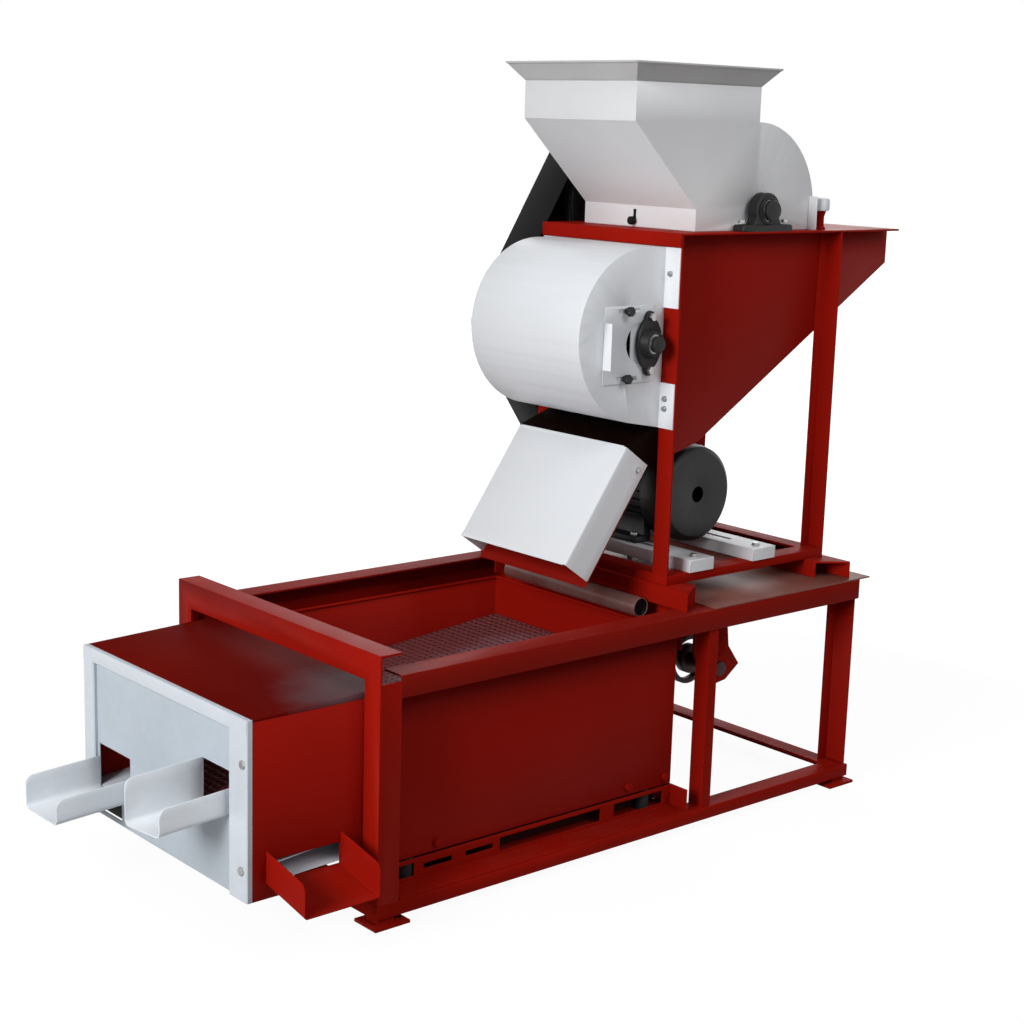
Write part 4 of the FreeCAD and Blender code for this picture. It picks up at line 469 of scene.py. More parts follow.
OWN_FINISHES = {
    # Painted shade: the chute red turns near-black above 0.6 m, where the blower shades it.
    "kernel_chute": Finish("red_painted_shade", (0.24, 0.0065, 0.003), (0.18, 0.005, 0.003), 0.5, gloss=0.03,
                           painted_shade=(0.60, 0.70)),
    # Painted shade and painted reflection: a darker copy of the red paint for the shaded cover top, with a grey cloud
    # for reflected pale surroundings.
    "sieve_cover": Finish("cover_painted_shade_and_reflection", (0.135, 0.004, 0.002), (0.10, 0.003, 0.002), 0.5, gloss=0.005, mottle=0.8,
                          mottle_scale=2.2, painted_reflection=((-0.50, -0.19, 0.409), (0.17, 0.14, 0.2))),
    # Painted reflection: the pink-brown base stands for pale surroundings reflected in the glossy red deck; the thin
    # dust on top is dust.
    "deck_plate": Finish("deck_dust_and_painted_reflection", (0.18, 0.05, 0.038), (0.22, 0.08, 0.062), 0.38, gloss=0.12, mottle=0.9,
                         mottle_scale=9.0, dust=0.05),
    # Painted reflection: the pink-brown stands for pale surroundings reflected in the glossy red lip.
    "rolled_lip": Finish("lip_painted_reflection", (0.17, 0.085, 0.075), (0.13, 0.045, 0.038), 0.3, gloss=0.4, mottle=0.9,
                         mottle_scale=18.0),
    "end_plate": Finish("blue_sheet", (0.52, 0.58, 0.64), (0.42, 0.475, 0.53), 0.38, gloss=0.25, mottle=0.6,
                        mottle_scale=3.5, flakes=0.03),
    "low_spout": Finish("bright_spout", (0.80, 0.84, 0.88), (0.71, 0.75, 0.79), 0.36, metallic=0.0, gloss=0.35, flakes=0.03),
    "hopper_rim": Finish("shaded_rim", (0.55, 0.545, 0.545), (0.48, 0.475, 0.47), 0.45, gloss=0.2, mottle=0.5),
    "separation_duct": Finish("duct_red", (0.29, 0.007, 0.003), (0.23, 0.006, 0.003), 0.40, gloss=0.05, mottle=0.5,
                              mottle_scale=2.5),
    "shaker_pulley": Finish("dark_casting", (0.030, 0.010, 0.009), (0.05, 0.014, 0.012), 0.45, gloss=0.2,
                            mottle=0.8, mottle_scale=14.0),
    # Painted reflection: the grey cloud stands for pale surroundings reflected in the tray.
    "upper_tray": Finish("tray_painted_reflection", (0.24, 0.055, 0.055), (0.17, 0.055, 0.058), 0.4, gloss=0.05, mottle=0.9,
                         mottle_scale=2.6, painted_reflection=((-0.10, 0.0, 0.27), (0.42, 0.22, 0.3)),
                         painted_reflection_tint=(0.27, 0.17, 0.20)),
    # Painted shade: a darker copy of the red paint for the shaded top rails; the thin dust is dust.
    "top_rails": Finish("rail_red_painted_shade", (0.24, 0.009, 0.005), (0.18, 0.007, 0.004), 0.45, gloss=0.02, dust=0.015,
                        mottle=0.4, mottle_scale=3.0),
    "motor_body": Finish("motor_enamel", (0.010, 0.010, 0.012), (0.017, 0.017, 0.019), 0.40, gloss=0.3, mottle=0.7,
                         mottle_scale=12.0, grain_depth=0.0002),
    # Painted shade: the gate stud and the bar under the low spout are near-black to stand for the dark openings there.
    "feed_gate": Finish("near_black_painted_shade", (0.006, 0.005, 0.005), (0.010, 0.009, 0.009), 0.5, gloss=0.1),
    # Painted shade: dark sheets behind the sill windows stand for the shade seen through them.
    "sill_shade_sheets": Finish("painted_shade_sheet", (0.035, 0.009, 0.007), (0.05, 0.018, 0.012), 0.6, gloss=0.05),
    "sieve_walls": Finish("box_red", (0.27, 0.006, 0.0025), (0.22, 0.005, 0.0025), 0.40, gloss=0.04, mottle=0.5,
                          mottle_scale=2.5),
}
OWN_FINISHES["high_spout"] = OWN_FINISHES["low_spout"]
OWN_FINISHES["shaker_shaft"] = OWN_FINISHES["shaker_pulley"]
OWN_FINISHES["connecting_rods"] = OWN_FINISHES["shaker_pulley"]
OWN_FINISHES["motor_cowl"] = OWN_FINISHES["motor_body"]
OWN_FINISHES["cowl_grille"] = OWN_FINISHES["motor_body"]
OWN_FINISHES["pan_gap_shade"] = OWN_FINISHES["feed_gate"]
OWN_FINISHES["hopper_rim_hem"] = OWN_FINISHES["hopper_rim"]


class Kit:
    """Shared node groups and the finished materials."""

    def __init__(self) -> None:
        """Builds the groups and one material per slot."""
        self.skin = make_skin_group()
        self.dust = make_dust_group()
        self.spangle = make_spangle_group()
        self.painted_shade = make_painted_shade_group()
        self.painted_reflection = make_painted_reflection_group()
        self.materials = {slot: finish.build(self) for slot, finish in FINISHES.items()}
        made = {finish: finish.build(self) for finish in set(OWN_FINISHES.values())}
        self.own = {name: made[finish] for name, finish in OWN_FINISHES.items()}

    def dress(self, piece: bpy.types.Object, slot: Slot, node: str = "") -> None:
        """Gives a piece the finish of its slot, or its node's own finish where there is one."""
        piece.data.materials.clear()
        piece.data.materials.append(self.own.get(node, self.materials[slot]))


@dataclass
class Studio:
    """Camera, lights, world and floor."""

    floor_size: float = 40.0
    shadow_reach: float = 1.6
    white_reach: float = 3.2
    shadow_share: float = 0.76
    ambient: float = 0.21
    key_energy: float = 2.5
    fill_energy: float = 0.86
    back_energy: float = 0.6

    def camera(self) -> None:
        """Places the camera where the photograph was taken from."""
        yaw, pitch, roll = (math.radians(a) for a in (CAMERA_YAW, CAMERA_PITCH, CAMERA_ROLL))
        ahead = Vector((math.sin(yaw) * math.cos(pitch), math.cos(yaw) * math.cos(pitch), -math.sin(pitch)))
        level = Vector((math.cos(yaw), -math.sin(yaw), 0.0))
        down = ahead.cross(level)
        right = math.cos(roll) * level + math.sin(roll) * down
        down = math.cos(roll) * down - math.sin(roll) * level
        turn = Matrix((right, -down, -ahead)).transposed().to_4x4()
        data = bpy.data.cameras.new("photo_camera")
        data.sensor_width = SENSOR
        data.lens = FOCAL_PIXELS / PHOTO_PIXELS * SENSOR
        data.clip_end = 100.0
        item = bpy.data.objects.new("photo_camera", data)
        item.matrix_world = Matrix.Translation(CAMERA_PLACE) @ turn
        bpy.context.scene.collection.objects.link(item)
        bpy.context.scene.camera = item

    def lamp(self, name: str, place: tuple, size: float, energy: float) -> None:
        """Adds a square soft lamp that looks at the machine.

        Args:
            name: Name of the lamp.
            place: Where it stands.
            size: Side of its face.
            energy: Power for one square metre of distance.
        """
        data = bpy.data.lights.new(name, "AREA")
        data.size = size
        reach = Vector(place) - Vector((0.0, 0.0, 0.7))
        data.energy = energy * reach.length_squared * math.pi
        item = bpy.data.objects.new(name, data)
        item.location = place
        item.rotation_euler = reach.to_track_quat("Z", "Y").to_euler()
        bpy.context.scene.collection.objects.link(item)

    def world(self) -> None:
        """Plain ambient light; the camera, mirrors and glass see white."""
        world = bpy.data.worlds.new("studio")
        world.use_nodes = True
        bpy.context.scene.world = world
        wiring = Wiring(world.node_tree)
        plain = world.node_tree.nodes["Background"]
        plain.inputs["Color"].default_value = (1.0, 1.0, 1.0, 1.0)
        plain.inputs["Strength"].default_value = self.ambient
        white = wiring.add("Background")
        white.inputs["Color"].default_value = (1.0, 1.0, 1.0, 1.0)
        mix = wiring.add("MixShader")
        wiring.join(self.seen_directly(wiring), mix.inputs[0])
        wiring.join(plain.outputs[0], mix.inputs[1])
        wiring.join(white.outputs[0], mix.inputs[2])
        wiring.join(mix.outputs[0], world.node_tree.nodes["World Output"].inputs[0])

    @staticmethod
    def seen_directly(wiring: Wiring) -> bpy.types.NodeSocket:
        """One where a camera, mirror or glass ray looks, and none where light falls.

        Args:
            wiring: The tree that needs it.

        Returns:
            The socket that tells them apart.
        """
        path = wiring.add("LightPath")
        seen = path.outputs["Is Camera Ray"]
        for other in ("Is Glossy Ray", "Is Transmission Ray"):
            either = wiring.add("Math", operation="MAXIMUM")
            wiring.join(seen, either.inputs[0])
            wiring.join(path.outputs[other], either.inputs[1])
            seen = either.outputs[0]
        return seen

    def floor(self) -> None:
        """White floor that keeps a faint shadow near the machine and is plain white further out."""
        half = self.floor_size / 2
        mesh = bpy.data.meshes.new("floor")
        mesh.from_pydata([(x, y, -MILLI) for x, y in ((-half, -half), (half, -half), (half, half), (-half, half))],
                         [], [(0, 1, 2, 3)])
        item = bpy.data.objects.new("floor", mesh)
        bpy.context.scene.collection.objects.link(item)
        material = bpy.data.materials.new("floor")
        material.use_nodes = True
        wiring = Wiring(material.node_tree)
        shader = material.node_tree.nodes["Principled BSDF"]
        shader.inputs["Base Color"].default_value = (0.30, 0.30, 0.30, 1.0)
        shader.inputs["Roughness"].default_value = 0.9
        glow = wiring.add("Emission")
        glow.inputs["Strength"].default_value = 1.24
        place = wiring.add("TexCoord")
        reach = wiring.add("VectorMath", operation="LENGTH")
        wiring.join(place.outputs["Object"], reach.inputs[0])
        fade = wiring.add("MapRange")
        fade.inputs["From Min"].default_value = self.shadow_reach
        fade.inputs["From Max"].default_value = self.white_reach
        fade.inputs["To Min"].default_value = self.shadow_share
        wiring.join(reach.outputs["Value"], fade.inputs["Value"])
        share = wiring.add("Math", operation="MULTIPLY")
        wiring.join(self.seen_directly(wiring), share.inputs[0])
        wiring.join(fade.outputs["Result"], share.inputs[1])
        mix = wiring.add("MixShader")
        wiring.join(share.outputs[0], mix.inputs[0])
        wiring.join(shader.outputs[0], mix.inputs[1])
        wiring.join(glow.outputs[0], mix.inputs[2])
        wiring.join(mix.outputs[0], material.node_tree.nodes["Material Output"].inputs[0])
        mesh.materials.append(material)

    def build(self) -> None:
        """Sets up the whole studio."""
        bpy.context.scene.view_settings.view_transform = "Standard"
        self.camera()
        self.world()
        self.floor()
        self.lamp("key", (-5.0, -0.9, 2.6), 2.2, self.key_energy)
        self.lamp("fill", (0.6, -4.0, 4.2), 2.6, self.fill_energy)
        self.lamp("back", (4.0, 4.0, 2.5), 3.0, self.back_energy)


@dataclass
class Patch:
    """Part of a mesh: its points, its four-sided faces and the rings of its caps."""

    points: np.ndarray
    quads: np.ndarray
    rings: tuple = ()


def at(along: float, across: float, up: float) -> np.ndarray:
    """Place in the frame of a point given in millimetres from the spout end of the base frame."""
    return FRAME_ZERO + np.array([along, across, up]) * MILLI


def grid(points: np.ndarray, wrap: bool = True, caps: bool = True, keep: np.ndarray | None = None) -> Patch:
    """Patch over a grid of points; each face joins four neighbours of the grid.

    Args:
        points: Array of rows, columns and three coordinates.
        wrap: Whether the last column meets the first.
        caps: Whether the first and last rows are closed.
        keep: Which faces stay, as rows and columns, where some are holes.

    Returns:
        The patch.
    """
    rows, columns = points.shape[:2]
    row = np.arange(rows - 1)[:, None] * columns
    column = np.arange(columns if wrap else columns - 1)[None, :]
    after = (column + 1) % columns
    quads = np.stack([row + column, row + after, row + columns + after, row + columns + column], axis=-1)
    quads = quads[keep] if keep is not None else quads.reshape(-1, 4)
    rings = (np.arange(columns)[::-1], np.arange(columns) + (rows - 1) * columns) if caps else ()
    return Patch(points.reshape(-1, 3), quads, rings)


def basis(direction: Sequence[float]) -> np.ndarray:
    """Two level directions and the given one, as rows, for shapes turned about it."""
    ahead = np.asarray(direction, float)
    ahead = ahead / np.linalg.norm(ahead)
    helper = np.array([0.0, 0.0, 1.0]) if abs(ahead[2]) < 0.9 else np.array([1.0, 0.0, 0.0])
    side = np.cross(helper, ahead)
    side /= np.linalg.norm(side)
    return np.stack([side, np.cross(ahead, side), ahead])


def turned(place: np.ndarray, direction: Sequence[float], profile: Sequence[tuple], sides: int = 48,
           lobes: int = 0, lobe_depth: float = 0.0, caps: bool = True) -> Patch:
    """Surface turned about a line: each profile point gives a radius and a distance along the line.

    The radius is multiplied by one minus the lobe depth times the cosine of the lobes.

    Args:
        place: Start of the line.
        direction: Way of the line.
        profile: Radius and distance along the line, in millimetres.
        sides: Points around.
        lobes: Number of lobes around.
        lobe_depth: Share of the radius that a lobe takes.
        caps: Whether the ends are closed.

    Returns:
        The patch.
    """
    axes = basis(direction)
    steps = np.asarray(profile, float) * MILLI
    angle = np.linspace(0.0, 2 * math.pi, sides, endpoint=False)
    reach = steps[:, :1] * (1.0 - lobe_depth * np.cos(lobes * angle))[None, :]
    points = (place + (reach * np.cos(angle))[..., None] * axes[0] + (reach * np.sin(angle))[..., None] * axes[1]
              + steps[:, 1][:, None, None] * axes[2])
    return grid(points, caps=caps)


def hexagon(place: np.ndarray, direction: Sequence[float], flats: float, height: float) -> Patch:
    """Bolt head: a six-sided prism whose top corners are cut by a cone.

    Around the head the radius is half the width over the flats divided by the cosine of the angle from
    the nearest flat, and at the top it is no more than the half width itself.

    Args:
        place: Middle of its seat.
        direction: Way that it points.
        flats: Width over the flats, in millimetres.
        height: Height, in millimetres.

    Returns:
        The patch.
    """
    axes = basis(direction)
    angle = np.linspace(0.0, 2 * math.pi, 48, endpoint=False)
    half = flats / 2 * MILLI
    corner = half / np.cos((angle % (math.pi / 3)) - math.pi / 6)
    rows = ((corner * 0.985, 0.0), (corner, 0.03), (corner, 0.8), (np.minimum(corner, half * 1.04), 0.96),
            (np.minimum(corner, half * 0.9), 1.0))
    points = [place + (r * np.cos(angle))[:, None] * axes[0] + (r * np.sin(angle))[:, None] * axes[1]
              + h * height * MILLI * axes[2] for r, h in rows]
    return grid(np.stack(points))


def capsule(start: np.ndarray, end: np.ndarray, radius: float, ripple: float = 0.0, pitch: float = 3.0,
            sides: int = 10) -> Patch:
    """Round bar with domed ends; a weld's ripples swell its radius by a sine of the way along it.

    Args:
        start: First end.
        end: Last end.
        radius: Radius in millimetres.
        ripple: Share of the radius that the ripples add.
        pitch: Length of one ripple, in millimetres.
        sides: Points around.

    Returns:
        The patch.
    """
    span = end - start
    length = float(np.linalg.norm(span)) / MILLI
    axes = basis(span)
    count = max(2, int(length / pitch * 4)) if ripple else 2
    turn = np.linspace(0.05, math.pi / 2, 5)
    body = np.linspace(radius, max(length - radius, radius + 0.1), count)
    swell = radius * (1.0 + ripple * np.abs(np.sin(math.pi * body / pitch)))
    along = np.concatenate([radius - radius * np.cos(turn[:-1]), body, length - radius + radius * np.cos(turn[::-1][1:])])
    reach = np.concatenate([radius * np.sin(turn[:-1]), swell, radius * np.sin(turn[::-1][1:])])
    angle = np.linspace(0.0, 2 * math.pi, sides, endpoint=False)
    points = (start + (along * MILLI)[:, None, None] * axes[2]
              + (reach[:, None] * np.cos(angle) * MILLI)[..., None] * axes[0]
              + (reach[:, None] * np.sin(angle) * MILLI)[..., None] * axes[1])
    return grid(points)


def channel(corner_at: callable, width: float, walls: tuple, bend: float, length: float, tip: float) -> Patch:
    """Folded channel: a floor with round bends up into two walls whose tip corners are round.

    Across, the way runs down one wall, round a quarter circle, over the floor, round another and up the
    other wall. Near the tip a wall loses what a circle of the tip radius leaves over.

    Args:
        corner_at: Turns millimetres across, up and along into a place.
        width: Width over the walls.
        walls: Height of the near and the far wall.
        bend: Radius of the bends.
        length: Length of the channel.
        tip: Radius of the round corners at the tip.

    Returns:
        The open patch.
    """
    rest = np.linspace(0.0, length - tip, 6)
    end = length - tip + tip * np.sin(np.linspace(0.1, 1.0, 8) * math.pi / 2)
    along = np.concatenate([rest, end])[:, None]
    over = np.clip(along - (length - tip), 0.0, tip)
    loss = tip - np.sqrt(tip * tip - over * over)
    share = np.linspace(1.0, 0.0, 5)[None, :]
    turn = np.linspace(0.0, math.pi / 2, 6)[None, 1:]
    near_up = bend + (walls[0] - loss - bend) * share
    far_up = (bend + (walls[1] - loss - bend) * share)[:, ::-1]
    one = np.ones_like(along)
    across = np.concatenate([0.0 * near_up, (bend - bend * np.cos(turn)) * one,
                             (width - bend + bend * np.sin(turn)) * one, width + 0.0 * far_up], axis=1)
    up = np.concatenate([near_up, (bend - bend * np.sin(turn)) * one, (bend - bend * np.cos(turn)) * one, far_up],
                        axis=1)
    return grid(corner_at(across, up, along * np.ones_like(across)), wrap=False, caps=False)


def holed_sheet(corner_at: callable, length: float, width: float, cells: tuple, hole: float) -> Patch:
    """Perforated sheet: each square cell has eight faces between its rim and a round hole.

    Args:
        corner_at: Turns millimetres along and across into a place.
        length: Length of the sheet.
        width: Width of the sheet.
        cells: Number of cells along and across.
        hole: Radius of the holes.

    Returns:
        The open patch.
    """
    pitch = np.array([length / cells[0], width / cells[1]])
    angle = np.arange(8) * math.pi / 4
    ring = np.stack([np.cos(angle), np.sin(angle)], axis=1)
    rim = np.sign(np.round(ring, 6)) * pitch / 2
    template = np.concatenate([rim, ring * hole])
    first, second = np.meshgrid((np.arange(cells[0]) + 0.5) * pitch[0], (np.arange(cells[1]) + 0.5) * pitch[1],
                                indexing="ij")
    centres = np.stack([first.ravel(), second.ravel()], axis=1)
    places = (centres[:, None, :] + template[None]).reshape(-1, 2)
    step = np.arange(8)
    quads = np.stack([step, (step + 1) % 8, (step + 1) % 8 + 8, step + 8], axis=1)
    quads = (quads[None] + np.arange(len(centres))[:, None, None] * 16).reshape(-1, 4)
    return Patch(corner_at(places[:, 0], places[:, 1]), quads)


def bar(start: np.ndarray, end: np.ndarray, side: Sequence[float], width: float, thick: float,
        edge: float) -> Patch:
    """Flat bar with quarter-round edges between two places.

    The section is a rectangle whose four corners are quarter circles of the edge radius.

    Args:
        start: Middle of the first end.
        end: Middle of the last end.
        side: Way of the width.
        width: Width in millimetres.
        thick: Thickness in millimetres.
        edge: Radius of the corners.

    Returns:
        The patch.
    """
    ahead = (end - start) / np.linalg.norm(end - start)
    wide = np.asarray(side, float)
    deep = np.cross(ahead, wide)
    angle = np.linspace(0.0, math.pi / 2, 5)[None, :] + np.arange(4)[:, None] * math.pi / 2
    corner_u = np.array([1, -1, -1, 1])[:, None] * (width / 2 - edge)
    corner_v = np.array([1, 1, -1, -1])[:, None] * (thick / 2 - edge)
    u = (corner_u + edge * np.cos(angle)).ravel() * MILLI
    v = (corner_v + edge * np.sin(angle)).ravel() * MILLI
    section = u[:, None] * wide + v[:, None] * deep
    return grid(np.stack([start + section, end + section]))


def outlined(place: np.ndarray, direction: Sequence[float], reach: np.ndarray, rows: Sequence[tuple]) -> Patch:
    """Closed shape over an outline given by its radius around: each row is a share of it and a height.

    Args:
        place: Middle of the base.
        direction: Way that it rises.
        reach: Radius in millimetres at even angles.
        rows: Share of the radius and height in millimetres.

    Returns:
        The patch.
    """
    axes = basis(direction)
    angle = np.linspace(0.0, 2 * math.pi, len(reach), endpoint=False)
    ring = np.cos(angle)[:, None] * axes[0] + np.sin(angle)[:, None] * axes[1]
    points = [place + (reach * share * MILLI)[:, None] * ring + height * MILLI * axes[2] for share, height in rows]
    return grid(np.stack(points))


def solids_of(node: bpy.types.Object) -> list[tuple]:
    """Corners of the separate solids of a node, found by spreading the lowest label along its edges.

    Args:
        node: A CAD node's object.

    Returns:
        Low and high corner of each solid.
    """
    mesh = node.data
    flat = np.empty(len(mesh.vertices) * 3)
    mesh.vertices.foreach_get("co", flat)
    matrix = np.array(node.matrix_world)
    points = flat.reshape(-1, 3) @ matrix[:3, :3].T + matrix[:3, 3]
    same = np.unique(np.round(points, 6), axis=0, return_inverse=True)[1].ravel()
    edges = np.empty(len(mesh.edges) * 2, dtype=int)
    mesh.edges.foreach_get("vertices", edges)
    ends = same[edges.reshape(-1, 2)]
    label = np.arange(same.max() + 1)
    settled = False
    while not settled:
        low = label[ends].min(axis=1)
        spread = label.copy()
        np.minimum.at(spread, ends[:, 0], low)
        np.minimum.at(spread, ends[:, 1], low)
        settled = bool((spread == label).all())
        label = spread
    groups = [points[label[same] == mark] for mark in np.unique(label)]
    return [(group.min(axis=0), group.max(axis=0)) for group in groups]


@dataclass
class Workshop:
    """Makes meshes into finished pieces of the object."""

    kit: Kit
    smooth_angle: float = 34.0

    def piece(self, name: str, patches: Sequence[Patch], body: str, slot: Slot, nodes: Sequence[str] = (),
              sheet: float = 0.0, edge: float = 0.0) -> bpy.types.Object:
        """Joins patches into one piece, dresses it and lets it ride on a body.

        Args:
            name: Name of the piece.
            patches: What it is made of.
            body: Body that carries it.
            slot: Finish.
            nodes: CAD nodes that it stands for.
            sheet: Thickness given to an open sheet, in millimetres.
            edge: Width of its rounded edges, in millimetres.

        Returns:
            The piece.
        """
        offsets = np.cumsum([0] + [len(patch.points) for patch in patches[:-1]])
        faces = []
        for patch, offset in zip(patches, offsets):
            faces += (patch.quads + offset).tolist()
            faces += [(ring + offset).tolist() for ring in patch.rings]
        mesh = bpy.data.meshes.new(name)
        mesh.from_pydata(np.concatenate([patch.points for patch in patches]).tolist(), [], faces)
        work = bmesh.new()
        work.from_mesh(mesh)
        bmesh.ops.remove_doubles(work, verts=work.verts, dist=0.00001)
        bmesh.ops.delete(work, geom=[v for v in work.verts if not v.link_faces], context="VERTS")
        bmesh.ops.recalc_face_normals(work, faces=work.faces)
        work.to_mesh(mesh)
        work.free()
        mesh.polygons.foreach_set("use_smooth", np.ones(len(mesh.polygons), dtype=bool))
        mesh.set_sharp_from_angle(angle=math.radians(self.smooth_angle))
        item = bpy.data.objects.new(name, mesh)
        bpy.context.scene.collection.objects.link(item)
        if sheet:
            wall = item.modifiers.new("sheet", "SOLIDIFY")
            wall.thickness = sheet * MILLI
            wall.offset = 0.0
        if edge:
            bevel = item.modifiers.new("edge", "BEVEL")
            bevel.width = edge * MILLI
            bevel.segments = 2
            bevel.limit_method = "ANGLE"
            bevel.angle_limit = math.radians(self.smooth_angle)
        self.kit.dress(item, slot, nodes[0] if nodes else name)
        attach(item, body)
        if nodes:
            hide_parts(*nodes)
        LOG.info("made %s with %d faces", name, len(mesh.polygons))
        return item


@dataclass
class FoldedSheets:
    """Folded sheet pieces with round bends and round tips: chute cover, spouts and side chute."""

    shop: Workshop
    sheet: float = 2.0
    spout_fall: float = 9.0
    spout_corner: float = 14.0
    tip_room: float = 0.6
    high_spout_walls: tuple = (48.0, 78.0)
    low_spout_walls: tuple = (46.0, 58.0)
    high_spout_slant: float = 13.0
    low_spout_slant: float = 0.0
    side_fall: float = 22.0
    side_walls: tuple = (58.0, 58.0)
    bend: float = 5.0
    spout_bend: float = 10.0
    cover_length: float = 255.0
    cover_depth: float = 73.0
    cover_corner: tuple = (720.0, 709.0)
    cover_slope: float = 55.0

    def spout(self, name: str, walls: tuple, slant: float) -> None:
        """Makes a spout on the end plate that falls towards its tip.

        Args:
            name: Node that it replaces.
            walls: Height of its near and far wall.
            slant: How much shorter the near wall is.
        """
        low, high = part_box(name)
        length = (high.x - low.x) / MILLI - self.tip_room
        width = (high.y - low.y) / MILLI - self.sheet

        def corner_at(across: np.ndarray, up: np.ndarray, along: np.ndarray) -> np.ndarray:
            """Place of a point of the spout."""
            drop = self.spout_fall * (1.0 - along / length)
            along = along * (1.0 - slant / length * (1.0 - across / width))
            return np.stack([high.x - along * MILLI, low.y + (across + self.sheet / 2) * MILLI,
                             low.z + (up + drop + self.sheet / 2) * MILLI], axis=-1)

        sheet = channel(corner_at, width, walls, self.spout_bend, length, self.spout_corner)
        self.shop.piece(f"{name}_folded", [sheet], "sieve_box", Slot.ZINC, [name], self.sheet, 0.5)

    def side_chute(self) -> None:
        """Makes the red side chute, which falls away from the box."""
        low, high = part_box("side_chute")
        length = (high.y - low.y) / MILLI - self.tip_room

        def corner_at(across: np.ndarray, up: np.ndarray, along: np.ndarray) -> np.ndarray:
            """Place of a point of the side chute."""
            drop = self.side_fall * (1.0 - along / length)
            return np.stack([low.x + (across + self.sheet / 2) * MILLI, high.y - along * MILLI,
                             low.z + (up + drop + self.sheet / 2) * MILLI], axis=-1)

        width = (high.x - low.x) / MILLI - self.sheet
        sheet = channel(corner_at, width, self.side_walls, self.bend, length, self.spout_corner)
        self.shop.piece("side_chute_folded", [sheet], "sieve_box", Slot.RED, ["side_chute"], self.sheet, 0.5)

    def on_slope(self, down: np.ndarray, deep: np.ndarray, across: np.ndarray) -> np.ndarray:
        """Place of a point given down the chute's slope, out of it and across the machine."""
        lean = math.radians(self.cover_slope)
        x = self.cover_corner[0] - down * math.cos(lean) - deep * math.sin(lean)
        z = self.cover_corner[1] - down * math.sin(lean) + deep * math.cos(lean)
        return FRAME_ZERO + np.stack([x, across, z], axis=-1) * MILLI

    def cover(self) -> None:
        """Makes the white chute cover, folded over both sides, with its rims turned in."""
        low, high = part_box("chute_cover")
        near = (low.y - FRAME_ZERO[1]) / MILLI
        width = (high.y - low.y) / MILLI - self.sheet
        depth = self.cover_depth

        def corner_at(across: np.ndarray, up: np.ndarray, along: np.ndarray) -> np.ndarray:
            """Place of a point of the cover."""
            return self.on_slope(along, depth - self.sheet / 2 - up, near + self.sheet / 2 + across)

        sheet = channel(corner_at, width, (depth - 2, depth - 2), 4.0, self.cover_length, 3.0)
        middle = near + self.sheet / 2 + width / 2
        rims = []
        for down in (2.0, self.cover_length - 2.0):
            ends = [self.on_slope(np.array(down), np.array(depth - 1.0), np.array(middle + side * (width / 2 - 5)))
                    for side in (-1, 1)]
            lean = math.radians(self.cover_slope)
            rims.append(bar(ends[0], ends[1], (math.cos(lean), 0.0, math.sin(lean)), 7.0, 1.9, 0.9))
        self.shop.piece("chute_cover_folded", [sheet], "frame", Slot.WHITE, ["chute_cover"], self.sheet, 0.6)
        self.shop.piece("chute_cover_rims", rims, "frame", Slot.WHITE)

    def build(self) -> None:
        """Makes all the folded sheets."""
        self.spout("low_spout", self.low_spout_walls, self.low_spout_slant)
        self.spout("high_spout", self.high_spout_walls, self.high_spout_slant)
        self.side_chute()
        self.cover()


